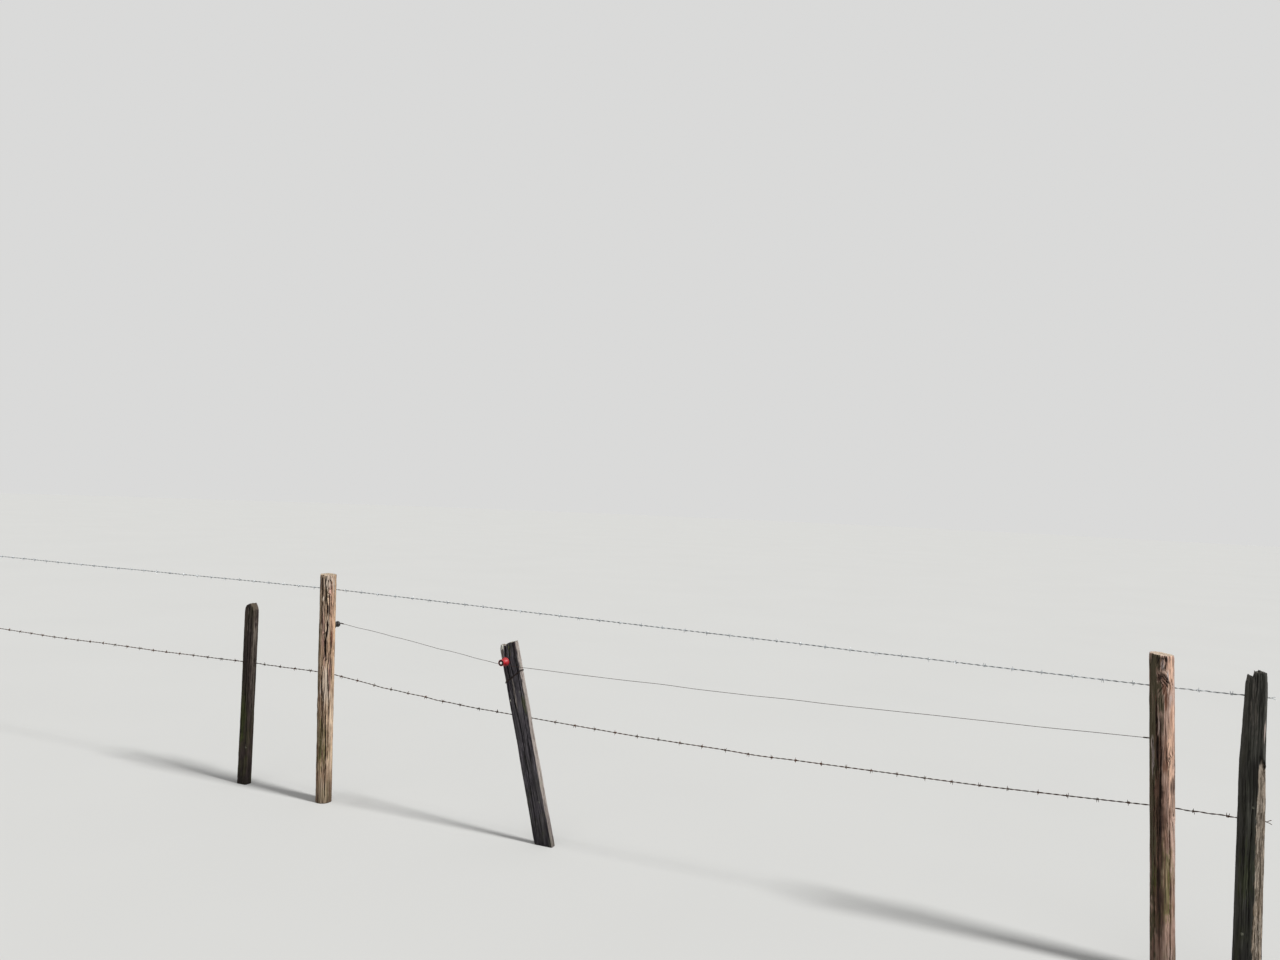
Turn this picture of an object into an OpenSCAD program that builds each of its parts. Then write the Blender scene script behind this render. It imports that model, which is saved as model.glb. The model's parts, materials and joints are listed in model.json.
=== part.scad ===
// Post and barbed wire fence: two bays of round posts with three older posts left standing between
// them, two barbed strands stapled to the field side, and a thin electric wire on nailed bobbins.
// X runs along the fence, Z is up and +Y is the field side. The origin is the middle post's foot.

/* [Fence line] */
// Distance between the feet of two neighbouring round posts
bay_l = 3660; // [2600:10:4200]
// Distance of the top strand below the tops of the left and middle posts
top_drop = 77; // [50:1:120]
// Distance between the top and lower strands at the left and middle posts
strand_gap = 422; // [360:2:500]
// How much lower the top strand is at the right post
top_fall = 55; // [0:5:80]
// How much lower the lower strand is at the right post
lower_fall = 50; // [0:5:80]
// Sag of the lower strand between the middle post and the old stub
lower_sag = 13; // [0:1:30]
// Sag of the lower strand between the old stub and the right post
long_sag = 24; // [0:1:50]
// Length of a strand past the last staple
strand_tail = 62; // [50:2:120]

/* [Round posts] */
// Diameter of a round post
post_d = 82; // [74:1:110]
// Height of the left and middle posts above the ground
post_h = 1117; // [1110:1:1300]
// Height of the right post above the ground
right_post_h = 1105; // [1080:1:1300]
// Lean of the left post along the fence, in degrees
left_lean = 0.8; // [0:0.1:3]
// Lean of the middle post along the fence, in degrees
middle_lean = 1.7; // [0:0.1:3]
// Lean of the right post along the fence, in degrees
right_lean = 1.9; // [0:0.1:3]

/* [Old stub] */
// Distance from the middle post's foot to the stub's foot
stub_x = 1228; // [900:2:1500]
// Width of the stub's front face
stub_w = 88; // [80:1:110]
// Thickness of the stub, through the fence line
stub_t = 34; // [25:1:50]
// Length of the stub above the ground, along its lean
stub_l = 911; // [880:1:1000]
// Lean of the stub along the fence, in degrees
stub_lean = 14.6; // [5:0.1:18]

/* [Old cleft post] */
// Distance from the right post's foot to the cleft post's middle
cleft_gap = 250; // [150:5:500]
// Width of the cleft post at the ground
cleft_w = 86; // [80:1:120]
// Width of the cleft post below its top
cleft_top_w = 65; // [55:1:78]
// Thickness of the cleft post, through the fence line
cleft_t = 66; // [45:1:80]
// Height of the cleft post above the ground
cleft_h = 1078; // [1050:1:1200]

/* [Old stake] */
// Distance from the middle post's foot to the stake's middle
stake_x = 537; // [300:2:900]
// Width of the stake's front face
stake_w = 62; // [45:1:80]
// Thickness of the stake, through the fence line
stake_t = 44; // [30:1:60]
// Height of the stake above the ground
stake_h = 932; // [860:1:1000]

/* [Barbs] */
// Distance between two barbs along a strand
barb_pitch = 100; // [75:5:150]
// Length of a barb's wire, from point to point
barb_l = 30; // [22:1:38]
// Diameter of a barb's wire
barb_d = 2; // [1.6:0.1:2.4]
// Slant of a barb's wire off the upright, in degrees
barb_slant = 35; // [20:1:45]

/* [Wire and staples] */
// Diameter of a two-ply barbed strand
strand_d = 5; // [4:0.2:6]
// Diameter of the electric wire
wire_d = 2; // [1.6:0.1:3]
// Diameter of a staple's wire
staple_d = 3.6; // [3:0.1:4]
// Clearance between a wire and what it lies on
wire_clearance = 0.2; // [0.1:0.05:0.3]
// Diameter of the binding wire round the stub
binding_d = 4; // [2:0.5:6]

/* [Bobbins] */
// Length of a bobbin, from the post to its outer end
bobbin_l = 38; // [32:1:45]
// Diameter of a bobbin's flange at the post
bobbin_d = 40; // [34:1:46]
// Diameter of a bobbin's outer flange
bobbin_end_d = 30; // [26:1:36]
// Diameter at the bottom of a bobbin's groove
groove_d = 21; // [16:1:24]
// Distance from the post to the middle of a bobbin's groove
groove_y = 22; // [18:1:24]
// Diameter of a bobbin's nail
nail_d = 4.4; // [3.5:0.1:6]
// Diameter of a nail's head
nail_head_d = 11; // [8:0.5:14]

/* [Hidden] */

$fn = 48;
// Number of sides of a strand's tube
tube_sides = 8;
// Number of rings along one sagging span of a strand
span_rings = 10;
// Number of rings round one turn of a wrapped end
turn_rings = 20;

post_r = post_d / 2;
// The backs of all the posts, which the strands lie against
back_y = post_r;
strand_r = strand_d / 2;
wire_r = wire_d / 2;
staple_r = staple_d / 2;
strand_y = back_y + wire_clearance + strand_r;
stub_front_y = back_y - stub_t;
cleft_front_y = back_y - cleft_t;
top_h = post_h - top_drop;
lower_h = top_h - strand_gap;

left_x = -bay_l;
right_x = bay_l;
cleft_x = right_x + cleft_gap;

// Drying shakes of a round post: [angle round the post, depth, width at the bark side]
left_shakes = [[215, 14, 5], [318, 20, 6], [15, 10, 4]];
middle_shakes = [[248, 20, 6], [285, 14, 5], [330, 18, 6], [170, 12, 5]];
right_shakes = [[262, 22, 6], [300, 12, 5], [350, 14, 4], [200, 14, 5]];
// Slope of a sawn post top, along the fence and through it, in degrees
left_top_slope = [3, -2];
middle_top_slope = [-2, 4];
right_top_slope = [2, 3];

// Torn tops of the old posts, from right to left: [share of the width across from the middle, drop]
stub_top = [
    [0.52, 0], [0.3, 4], [0.12, 3], [-0.02, 8], [-0.14, 20], [-0.18, 74],
    [-0.22, 26], [-0.3, 10], [-0.42, 7], [-0.52, 22]
];
cleft_top = [
    [0.5, 40], [0.36, 4], [0.2, 0], [-0.1, 5], [-0.18, 24], [-0.26, 20], [-0.44, 22], [-0.48, 40]
];
stake_top = [[0.45, 30], [0.15, 0], [-0.25, 10], [-0.5, 30]];
// Sides of the cleft post below its top, upwards: [share of the width, share of the height]
cleft_right_side = [[0.5, 0], [0.455, 0.6], [0.395, 0.71]];
cleft_left_side = [[-0.375, 0.9], [-0.415, 0.845], [-0.48, 0.72], [-0.5, 0]];
// Where the cleft post's front meets its two split faces, across from its middle
cleft_ridge = 0.14;
cleft_left_ridge = -0.33;
// Thickness of the cleft post at its thin right edge and at its left edge
cleft_edge_t = 22;
cleft_left_t = 44;
// How far a corner of the stub is rounded off
stub_chamfer = 5;

// Distance of a bobbin's middle below the top strand, on the middle and right posts
middle_bobbin_drop = 177;
right_bobbin_drop = 176;
// Distance of the stub's bobbin below the stub's highest point
stub_bobbin_drop = 88;
// Distance of the stub's bobbin from the middle of the front face, towards the left
stub_bobbin_off = 25;
// Thickness of a bobbin's outer flange, and of the nail's head
bobbin_rim = 5;
nail_head_t = 2.4;
nail_clearance = 0.2;
// Sag of the electric wire between the stub and the right post
electric_sag = 9;
// Turn of a staple off the upright, in degrees
staple_turn = 20;
// Distance between the two staples at a strand's end
staple_pitch = 26;
// Distance of the binding wire below the stub's highest point, and its slope in degrees
binding_drop = 151;
binding_slope = 40;
// Turn of each barb round its strand after the one before, in degrees
barb_turn = 137;
// Room kept free of barbs on each side of a post
barb_room = 14;

function post_axis_x(foot_x, lean, z) = foot_x - z * tan(lean);
function stub_axis_x(z) = post_axis_x(stub_x, stub_lean, z);
stub_h = stub_l * cos(stub_lean);

// Points along a wire between two supports, where the last point is left to the next span
function span(a, b, sag, rings) = [
    for (i = [0 : rings - 1])
        let (t = i / rings)
        a + t * (b - a) - [0, 0, 4 * sag * t * (1 - t)]
];

// One turn of a strand round the left post, from its end just below to where it began
function post_turn(z) = [
    for (i = [turn_rings : -1 : 0])
        let (t = i / turn_rings, a = 90 + 360 * t, r = strand_y)
        [post_axis_x(left_x, left_lean, z) + r * cos(a), r * sin(a), z - t * (strand_d + wire_clearance)]
];

function unit(v) = v / norm(v);
function tangent(points, i) = unit(points[min(i + 1, len(points) - 1)] - points[max(i - 1, 0)]);

// A round tube along a row of points, none of which runs along the side direction
module tube(points, r, side) {
    n = len(points);
    rings = [
        for (i = [0 : n - 1])
            let (t = tangent(points, i), u = unit(cross(side, t)), v = cross(t, u))
            for (k = [0 : tube_sides - 1])
                let (a = 360 * k / tube_sides)
                points[i] + r * (cos(a) * u + sin(a) * v)
    ];
    walls = [
        for (i = [0 : n - 2], k = [0 : tube_sides - 1])
            let (a = i * tube_sides + k, b = i * tube_sides + (k + 1) % tube_sides)
            [a, a + tube_sides, b + tube_sides, b]
    ];
    first_cap = [for (k = [0 : tube_sides - 1]) k];
    last_cap = [for (k = [tube_sides - 1 : -1 : 0]) (n - 1) * tube_sides + k];
    polyhedron(points = rings, faces = concat([first_cap], walls, [last_cap]), convexity = 10);
}

// Everything below the ground line, which a post's foot is cut flat by
module below_ground(x) {
    translate([x - post_h, -post_h, -post_h]) cube([2 * post_h, 2 * post_h, post_h]);
}

module round_post(x, height, lean, shakes, top_slope) {
    difference() {
        translate([x, 0, 0]) rotate([0, -lean, 0]) translate([0, 0, -post_r])
            linear_extrude(height + 2 * post_r) difference() {
                circle(r = post_r);
                for (s = shakes)
                    rotate(s[0])
                        polygon([[post_r - s[1], 0], [post_r + s[1], -s[2]], [post_r + s[1], s[2]]]);
            }
        below_ground(x);
        translate([post_axis_x(x, lean, height), 0, height]) rotate([top_slope[1], top_slope[0], 0])
            translate([-post_d, -post_d, 0]) cube([2 * post_d, 2 * post_d, 2 * post_d]);
    }
}

module left_post() {
    color("#8a7a5e") round_post(left_x, post_h, left_lean, left_shakes, left_top_slope);
}

module middle_post() {
    color("#9a8462") round_post(0, post_h, middle_lean, middle_shakes, middle_top_slope);
}

module right_post() {
    color("#a98a70") round_post(right_x, right_post_h, right_lean, right_shakes, right_top_slope);
}

// The stub's board-like section with its corners taken off, made larger all round by a margin
module stub_section(margin = 0) {
    c = stub_chamfer;
    w = stub_w / 2 + margin;
    t = stub_t + margin;
    polygon([
        [c - w, -margin], [w - c, -margin], [w, c - margin], [w, t - c],
        [w - c, t], [c - w, t], [-w, t - c], [-w, c - margin]
    ]);
}

// The edge of a torn top on a post of this width and height
function torn_edge(top, width, height) = [for (p = top) [p[0] * width, height - p[1]]];

module stub_frame() {
    translate([stub_x, stub_front_y, 0]) rotate([0, -stub_lean, 0]) children();
}

module old_stub() {
    top = torn_edge(stub_top, stub_w, stub_l);
    right_corner = [stub_w, top[0][1]];
    left_corner = [-stub_w, top[len(top) - 1][1]];
    outline = concat([[-stub_w, -stub_w], [stub_w, -stub_w], right_corner], top, [left_corner]);
    color("#5c5a57") difference() {
        stub_frame() intersection() {
            translate([0, 0, -stub_w]) linear_extrude(stub_l + stub_w) stub_section();
            translate([0, 2 * stub_t, 0]) rotate([90, 0, 0]) linear_extrude(3 * stub_t) polygon(outline);
        }
        below_ground(stub_x);
    }
}

module old_cleft_post() {
    w = cleft_w / 2;
    section = [
        [-w, back_y], [-w, back_y - cleft_left_t], [cleft_left_ridge * cleft_w, cleft_front_y],
        [cleft_ridge * cleft_w, cleft_front_y], [w, back_y - cleft_edge_t], [w, back_y]
    ];
    right_side = [for (p = cleft_right_side) [p[0] * cleft_w, p[1] * cleft_h]];
    left_side = [for (p = cleft_left_side) [p[0] * cleft_w, p[1] * cleft_h]];
    outline = concat(right_side, torn_edge(cleft_top, cleft_top_w, cleft_h), left_side);
    color("#4a4438") translate([cleft_x, 0, 0]) intersection() {
        translate([0, back_y, 0]) rotate([90, 0, 0]) linear_extrude(cleft_t) polygon(outline);
        linear_extrude(cleft_h) polygon(section);
    }
}

module old_stake() {
    foot = [[-stake_w / 2, 0], [stake_w / 2, 0]];
    color("#6b5c50") translate([-stake_x, back_y, 0]) rotate([90, 0, 0]) linear_extrude(stake_t)
        polygon(concat(foot, torn_edge(stake_top, stake_w, stake_h)));
}

// Where the strands bear on each post
right_top_z = top_h - top_fall;
right_lower_z = lower_h - lower_fall;
// Height at which the lower strand is stapled to the stub, below the straight line of the bay
stub_dip = 52;
stub_lower_z = lower_h - lower_fall * stub_x / bay_l - stub_dip;

left_top = [post_axis_x(left_x, left_lean, top_h), strand_y, top_h];
middle_top = [post_axis_x(0, middle_lean, top_h), strand_y, top_h];
right_top = [post_axis_x(right_x, right_lean, right_top_z), strand_y, right_top_z];
cleft_top_point = [cleft_x, strand_y, right_top_z];
left_lower = [post_axis_x(left_x, left_lean, lower_h), strand_y, lower_h];
stake_lower = [-stake_x, strand_y, lower_h];
middle_lower = [post_axis_x(0, middle_lean, lower_h), strand_y, lower_h];
stub_lower = [stub_axis_x(stub_lower_z), strand_y, stub_lower_z];
right_lower = [post_axis_x(right_x, right_lean, right_lower_z), strand_y, right_lower_z];
cleft_lower_point = [cleft_x, strand_y, right_lower_z];
tail = [strand_tail, 0, 0];

module top_strand() {
    points = concat(
        span(left_top, middle_top, 0, 2),
        span(middle_top, right_top, 0, 2),
        [right_top, cleft_top_point, cleft_top_point + tail]
    );
    color("#b9bcbe") tube(points, strand_r, [0, 0, 1]);
}

module lower_strand() {
    points = concat(
        span(left_lower, stake_lower, lower_sag, span_rings),
        [stake_lower],
        span(middle_lower, stub_lower, lower_sag, span_rings),
        span(stub_lower, right_lower, long_sag, 2 * span_rings),
        [right_lower, cleft_lower_point, cleft_lower_point + tail]
    );
    color("#6f6962") tube(points, strand_r, [0, 0, 1]);
}

// The end of a strand, taken once round the left post and laid back along under itself
module strand_wrap(start) {
    back = [start + tail - [0, 0, strand_d + wire_clearance]];
    tube(concat(back, post_turn(start[2])), strand_r, [0, 0, 1]);
}

// A barb: two short wires that cross on either side of the strand
module barb(p, turn) {
    off = strand_r + wire_clearance + barb_d / 2;
    translate(p) rotate([turn, 0, 0]) for (side = [-1, 1])
        translate([0, side * off, 0]) rotate([0, side * barb_slant, 0])
            cylinder(h = barb_l, d = barb_d, center = true);
}

// The barbs along one span, on a pitch counted from the left post, with room left at each post
module span_barbs(a, b, sag, a_half, b_half) {
    first = ceil((a[0] + a_half + barb_room - left_x) / barb_pitch);
    last = floor((b[0] - b_half - barb_room - left_x) / barb_pitch);
    for (k = [first : last]) {
        t = (left_x + k * barb_pitch - a[0]) / (b[0] - a[0]);
        barb(a + t * (b - a) - [0, 0, 4 * sag * t * (1 - t)], k * barb_turn);
    }
}

module top_barbs() {
    color("#c4c7c9") {
        span_barbs(left_top, middle_top, 0, strand_tail, post_r);
        span_barbs(middle_top, right_top, 0, post_r, post_r);
        span_barbs(right_top, cleft_top_point, 0, post_r, cleft_w / 2);
    }
}

module lower_barbs() {
    color("#7a7066") {
        span_barbs(left_lower, stake_lower, lower_sag, strand_tail, stake_w / 2);
        span_barbs(stake_lower, middle_lower, 0, stake_w / 2, post_r);
        span_barbs(middle_lower, stub_lower, lower_sag, post_r, stub_w);
        span_barbs(stub_lower, right_lower, long_sag, stub_w, post_r);
        span_barbs(right_lower, cleft_lower_point, 0, post_r, cleft_w / 2);
    }
}

middle_bobbin_z = top_h - middle_bobbin_drop;
right_bobbin_z = right_top_z - right_bobbin_drop;
stub_bobbin_z = stub_h - stub_bobbin_drop;
// Distance of the electric wire from a bobbin's axis
groove_reach = groove_d / 2 + wire_r + wire_clearance;
middle_bobbin_x = post_axis_x(0, middle_lean, middle_bobbin_z);
stub_bobbin_x = stub_axis_x(stub_bobbin_z) - stub_bobbin_off;
right_bobbin_x = post_axis_x(right_x, right_lean, right_bobbin_z);
back_groove_y = back_y + wire_clearance + groove_y;
front_groove_y = stub_front_y - wire_clearance - groove_y;

// A wire's end, taken once round a groove on the back of a post from this angle on
function groove_turn(x, z, from) = [
    for (i = [1 : turn_rings])
        let (t = i / turn_rings, a = from + 360 * t)
        [x, back_groove_y, z] + [groove_reach * cos(a), t * (wire_d + wire_clearance), groove_reach * sin(a)]
];

// The electric wire leaves over the middle post's bobbin and runs under the other two
module electric_wire() {
    a = [middle_bobbin_x, back_groove_y, middle_bobbin_z + groove_reach];
    b = [stub_bobbin_x, front_groove_y, stub_bobbin_z - groove_reach];
    c = [right_bobbin_x, back_groove_y, right_bobbin_z - groove_reach];
    first_turn = groove_turn(middle_bobbin_x, middle_bobbin_z, 90);
    points = concat(
        [for (i = [turn_rings - 1 : -1 : 0]) first_turn[i]],
        span(a, b, 0, 2),
        span(b, c, electric_sag, span_rings),
        [c],
        groove_turn(right_bobbin_x, right_bobbin_z, -90)
    );
    color("#7a6a5c") tube(points, wire_r, [0, 1, 0]);
}

// A staple over a strand: its crown stands off the strand, and its legs stop at the wood
module staple(p) {
    r = strand_r + wire_clearance + staple_r;
    translate(p) rotate([0, staple_turn, 0]) {
        rotate([0, 90, 0]) rotate_extrude(angle = 180) translate([r, 0]) circle(r = staple_r);
        for (side = [-1, 1])
            translate([0, 0, side * r]) rotate([90, 0, 0]) cylinder(h = strand_r, r = staple_r);
    }
}

// A staple over the wrapped turn, on the outer side of the left post
module outer_staple(p) {
    drop = (strand_d + wire_clearance) / 4;
    translate([p[0], 0, p[2] - drop]) rotate([0, 0, 90]) staple([0, strand_y, 0]);
}

module staple_pair(p) {
    for (side = [-1, 1])
        translate([side * staple_pitch / 2, 0, 0]) staple(p);
}

module galvanised() {
    color("#9ea2a4") children();
}

// A bobbin standing on the origin, with its axis up and a bore for its nail
module bobbin() {
    rb = bobbin_d / 2;
    re = bobbin_end_d / 2;
    rg = groove_d / 2;
    half_groove = 2 * wire_d;
    bore = nail_d / 2 + nail_clearance;
    rotate_extrude() polygon([
        [bore, 0], [rb, 0], [rb, bobbin_rim],
        [rg, groove_y - half_groove], [rg, groove_y + half_groove],
        [re, bobbin_l - bobbin_rim], [re, bobbin_l], [bore, bobbin_l]
    ]);
}

// A nail through a bobbin, from the wood to the head
module bobbin_nail() {
    cylinder(h = bobbin_l + wire_clearance, d = nail_d);
    translate([0, 0, bobbin_l + wire_clearance]) cylinder(h = nail_head_t, d = nail_head_d);
}

module on_back(x, z) {
    translate([x, back_y + wire_clearance, z]) rotate([-90, 0, 0]) children();
}

module on_stub() {
    translate([stub_bobbin_x, stub_front_y - wire_clearance, stub_bobbin_z]) rotate([90, 0, 0]) children();
}

module stub_binding() {
    z = stub_h - binding_drop;
    color("#3a332c") intersection() {
        stub_frame() translate([0, 0, -stub_w]) linear_extrude(stub_l + stub_w) difference() {
            stub_section(wire_clearance + binding_d);
            stub_section(wire_clearance);
        }
        translate([stub_axis_x(z), stub_front_y + stub_t / 2, z]) rotate([0, -binding_slope, 0])
            translate([-stub_w, -stub_w, -binding_d / 2]) cube([2 * stub_w, 2 * stub_w, binding_d]);
    }
}

module bobbin_on(x, z) {
    color("#1d1d1e") on_back(x, z) bobbin();
}

module nail_on(x, z) {
    galvanised() on_back(x, z) bobbin_nail();
}

left_post();
middle_post();
right_post();
old_stub();
old_cleft_post();
old_stake();
top_strand();
lower_strand();
top_barbs();
lower_barbs();
color("#b9bcbe") strand_wrap(left_top);  // top_strand_wrap
color("#6f6962") strand_wrap(left_lower);  // lower_strand_wrap
electric_wire();
galvanised() outer_staple(left_top);  // top_staple_left
galvanised() staple(middle_top);  // top_staple_middle
galvanised() staple(right_top);  // top_staple_right
galvanised() staple_pair(cleft_top_point);  // top_staples_cleft
galvanised() outer_staple(left_lower);  // lower_staple_left
galvanised() staple(stake_lower);  // lower_staple_stake
galvanised() staple(middle_lower);  // lower_staple_middle
galvanised() staple(stub_lower);  // lower_staple_stub
galvanised() staple(right_lower);  // lower_staple_right
galvanised() staple_pair(cleft_lower_point);  // lower_staples_cleft
bobbin_on(middle_bobbin_x, middle_bobbin_z);  // middle_bobbin
color("#91343a") on_stub() bobbin();  // stub_bobbin
bobbin_on(right_bobbin_x, right_bobbin_z);  // right_bobbin
nail_on(middle_bobbin_x, middle_bobbin_z);  // middle_bobbin_nail
galvanised() on_stub() bobbin_nail();  // stub_bobbin_nail
nail_on(right_bobbin_x, right_bobbin_z);  // right_bobbin_nail
stub_binding();
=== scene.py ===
# Post and barbed wire fence: weathered round posts, three older posts left standing between them,
# two barbed strands stapled to their backs and a thin electric wire run over nailed bobbins.
import json

import bpy
import numpy as np
from mathutils import Matrix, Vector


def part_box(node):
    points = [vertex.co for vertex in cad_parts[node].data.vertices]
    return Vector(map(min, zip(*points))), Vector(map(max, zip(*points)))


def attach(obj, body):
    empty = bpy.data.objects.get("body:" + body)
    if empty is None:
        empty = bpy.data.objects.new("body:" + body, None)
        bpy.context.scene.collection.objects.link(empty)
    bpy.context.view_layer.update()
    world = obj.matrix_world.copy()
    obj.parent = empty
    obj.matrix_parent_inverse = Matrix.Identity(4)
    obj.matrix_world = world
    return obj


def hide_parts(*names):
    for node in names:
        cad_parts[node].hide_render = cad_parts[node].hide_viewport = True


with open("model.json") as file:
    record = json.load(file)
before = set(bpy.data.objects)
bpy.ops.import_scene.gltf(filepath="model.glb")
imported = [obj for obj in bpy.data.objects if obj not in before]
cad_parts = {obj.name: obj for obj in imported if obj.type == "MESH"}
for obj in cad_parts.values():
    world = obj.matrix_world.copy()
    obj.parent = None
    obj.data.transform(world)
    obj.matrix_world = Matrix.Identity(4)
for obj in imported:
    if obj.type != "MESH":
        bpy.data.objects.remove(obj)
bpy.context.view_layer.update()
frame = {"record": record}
feet = {mount["name"]: mount["pos_m"] for mount in frame["record"]["mounts"]}


# Round posts: peeled softwood poles, sawn off and driven into the ground in a row. Years of sun and
# rain have opened long shakes, lifted the fibres, bleached one side and worn down the sawn tops. The
# side turned away from the sun is painted darker, as shade.
post_radius = 0.041
post_columns = 236
post_rings = 262
# This share of the rings lies below this share of the height, and the rest close together above it
rings_below, height_below = 0.68, 0.86
top_rings = 16
arris_wear, arris_drop = 0.0022, 0.0035
slit_count, slit_width, slit_depth = 7, 0.0011, 0.0025
# Shakes are painted dark inside, fully at this depth: painted shade in the crack.
post_crack_dark = 0.008
check_widths, check_depths = (0.0018, 0.0034), (0.0014, 0.0042)
knot_reach = 2.6
growth_ring = 0.0028
algae_height = 0.5


def relief(turn, rise, around, along, seed):
    """Smooth random heights from -1 to 1, on a surface that closes on itself in turn, from 0 to 1."""
    grid = np.random.default_rng(seed).uniform(-1, 1, (along + 2, around))
    across, up = (turn % 1) * around, np.clip(rise, 0, 1) * along
    i, j = across.astype(int) % around, up.astype(int)
    s, t = across % 1, up % 1
    s, t = s * s * (3 - 2 * s), t * t * (3 - 2 * t)
    below = grid[j, i] * (1 - s) + grid[j, (i + 1) % around] * s
    above = grid[j + 1, i] * (1 - s) + grid[j + 1, (i + 1) % around] * s
    return below * (1 - t) + above * t


def shake(offset, height, low, high, width, depth, seed, open_top=False):
    """Depth of a drying shake, deepest where offset is 0 and closing at its low and high ends."""
    up, none = height / 1.2, np.zeros_like(height)
    along = np.clip((height - low) / (high - low), 0, 1)
    ends = np.minimum(1, 5 * along) * (1 if open_top else np.minimum(1, 5 * (1 - along)))
    wander = 0.0016 * relief(none, up, 1, 16, seed) + 0.0008 * relief(none, up, 1, 60, seed + 1)
    ragged = 0.4 * relief(none, up, 1, 36, seed + 2) + 0.2 * relief(none, up, 1, 130, seed + 3)
    half = 0.5 * width * ends ** 0.6 * (1 + min(1, width / 0.006) * ragged)
    near = np.abs(offset - wander) / np.maximum(half, 1e-5)
    splinters = 1 - 0.45 * np.clip(relief(offset / 0.012, up, 6, 34, seed + 4), 0, 1)
    return depth * ends * splinters * np.clip(1 - near, 0, 1) ** 0.7


def strip(rows, columns, start=0):
    """Corners of the four-sided faces between rings of points, each ring closed on itself."""
    i, j = np.meshgrid(np.arange(rows - 1), np.arange(columns), indexing="ij")
    here, beside = start + i * columns + j, start + i * columns + (j + 1) % columns
    return np.stack([here, beside, beside + columns, here + columns], -1).reshape(-1, 4)


def fan(ring, centre):
    """Corners of the three-sided faces from a closed ring of points to one point."""
    return np.stack([ring, np.roll(ring, -1), np.full(len(ring), centre)], -1)


def make_piece(name, points, quads, triangles, **marks):
    """A smooth mesh with a value or a vector kept at each point for its material to read."""
    mesh = bpy.data.meshes.new(name)
    mesh.from_pydata(points.tolist(), [], quads.tolist() + triangles.tolist())
    mesh.polygons.foreach_set("use_smooth", [True] * len(mesh.polygons))
    for mark, values in marks.items():
        kind, field = ("FLOAT_VECTOR", "vector") if values.ndim == 2 else ("FLOAT", "value")
        layer = mesh.attributes.new(mark, kind, "POINT")
        layer.data.foreach_set(field, values.astype(np.float32).ravel())
    piece = bpy.data.objects.new(name, mesh)
    bpy.context.scene.collection.objects.link(piece)
    return piece


def turned_by(angle, middle):
    """Angle from middle, in radians, between minus and plus half a turn."""
    return (angle - middle + np.pi) % (2 * np.pi) - np.pi


def weathered_patch(up, aside, turn, rise, strength, seed):
    """A ragged patch of weathering, from how far off its middle each point is, up and aside."""
    ragged_edge = 0.30 * relief(turn, rise, 90, 22, seed) + 0.20 * relief(turn, rise, 40, 70, seed + 1)
    return strength * np.clip(2.2 * (1 - np.hypot(up, aside) + ragged_edge), 0, 1)


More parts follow.
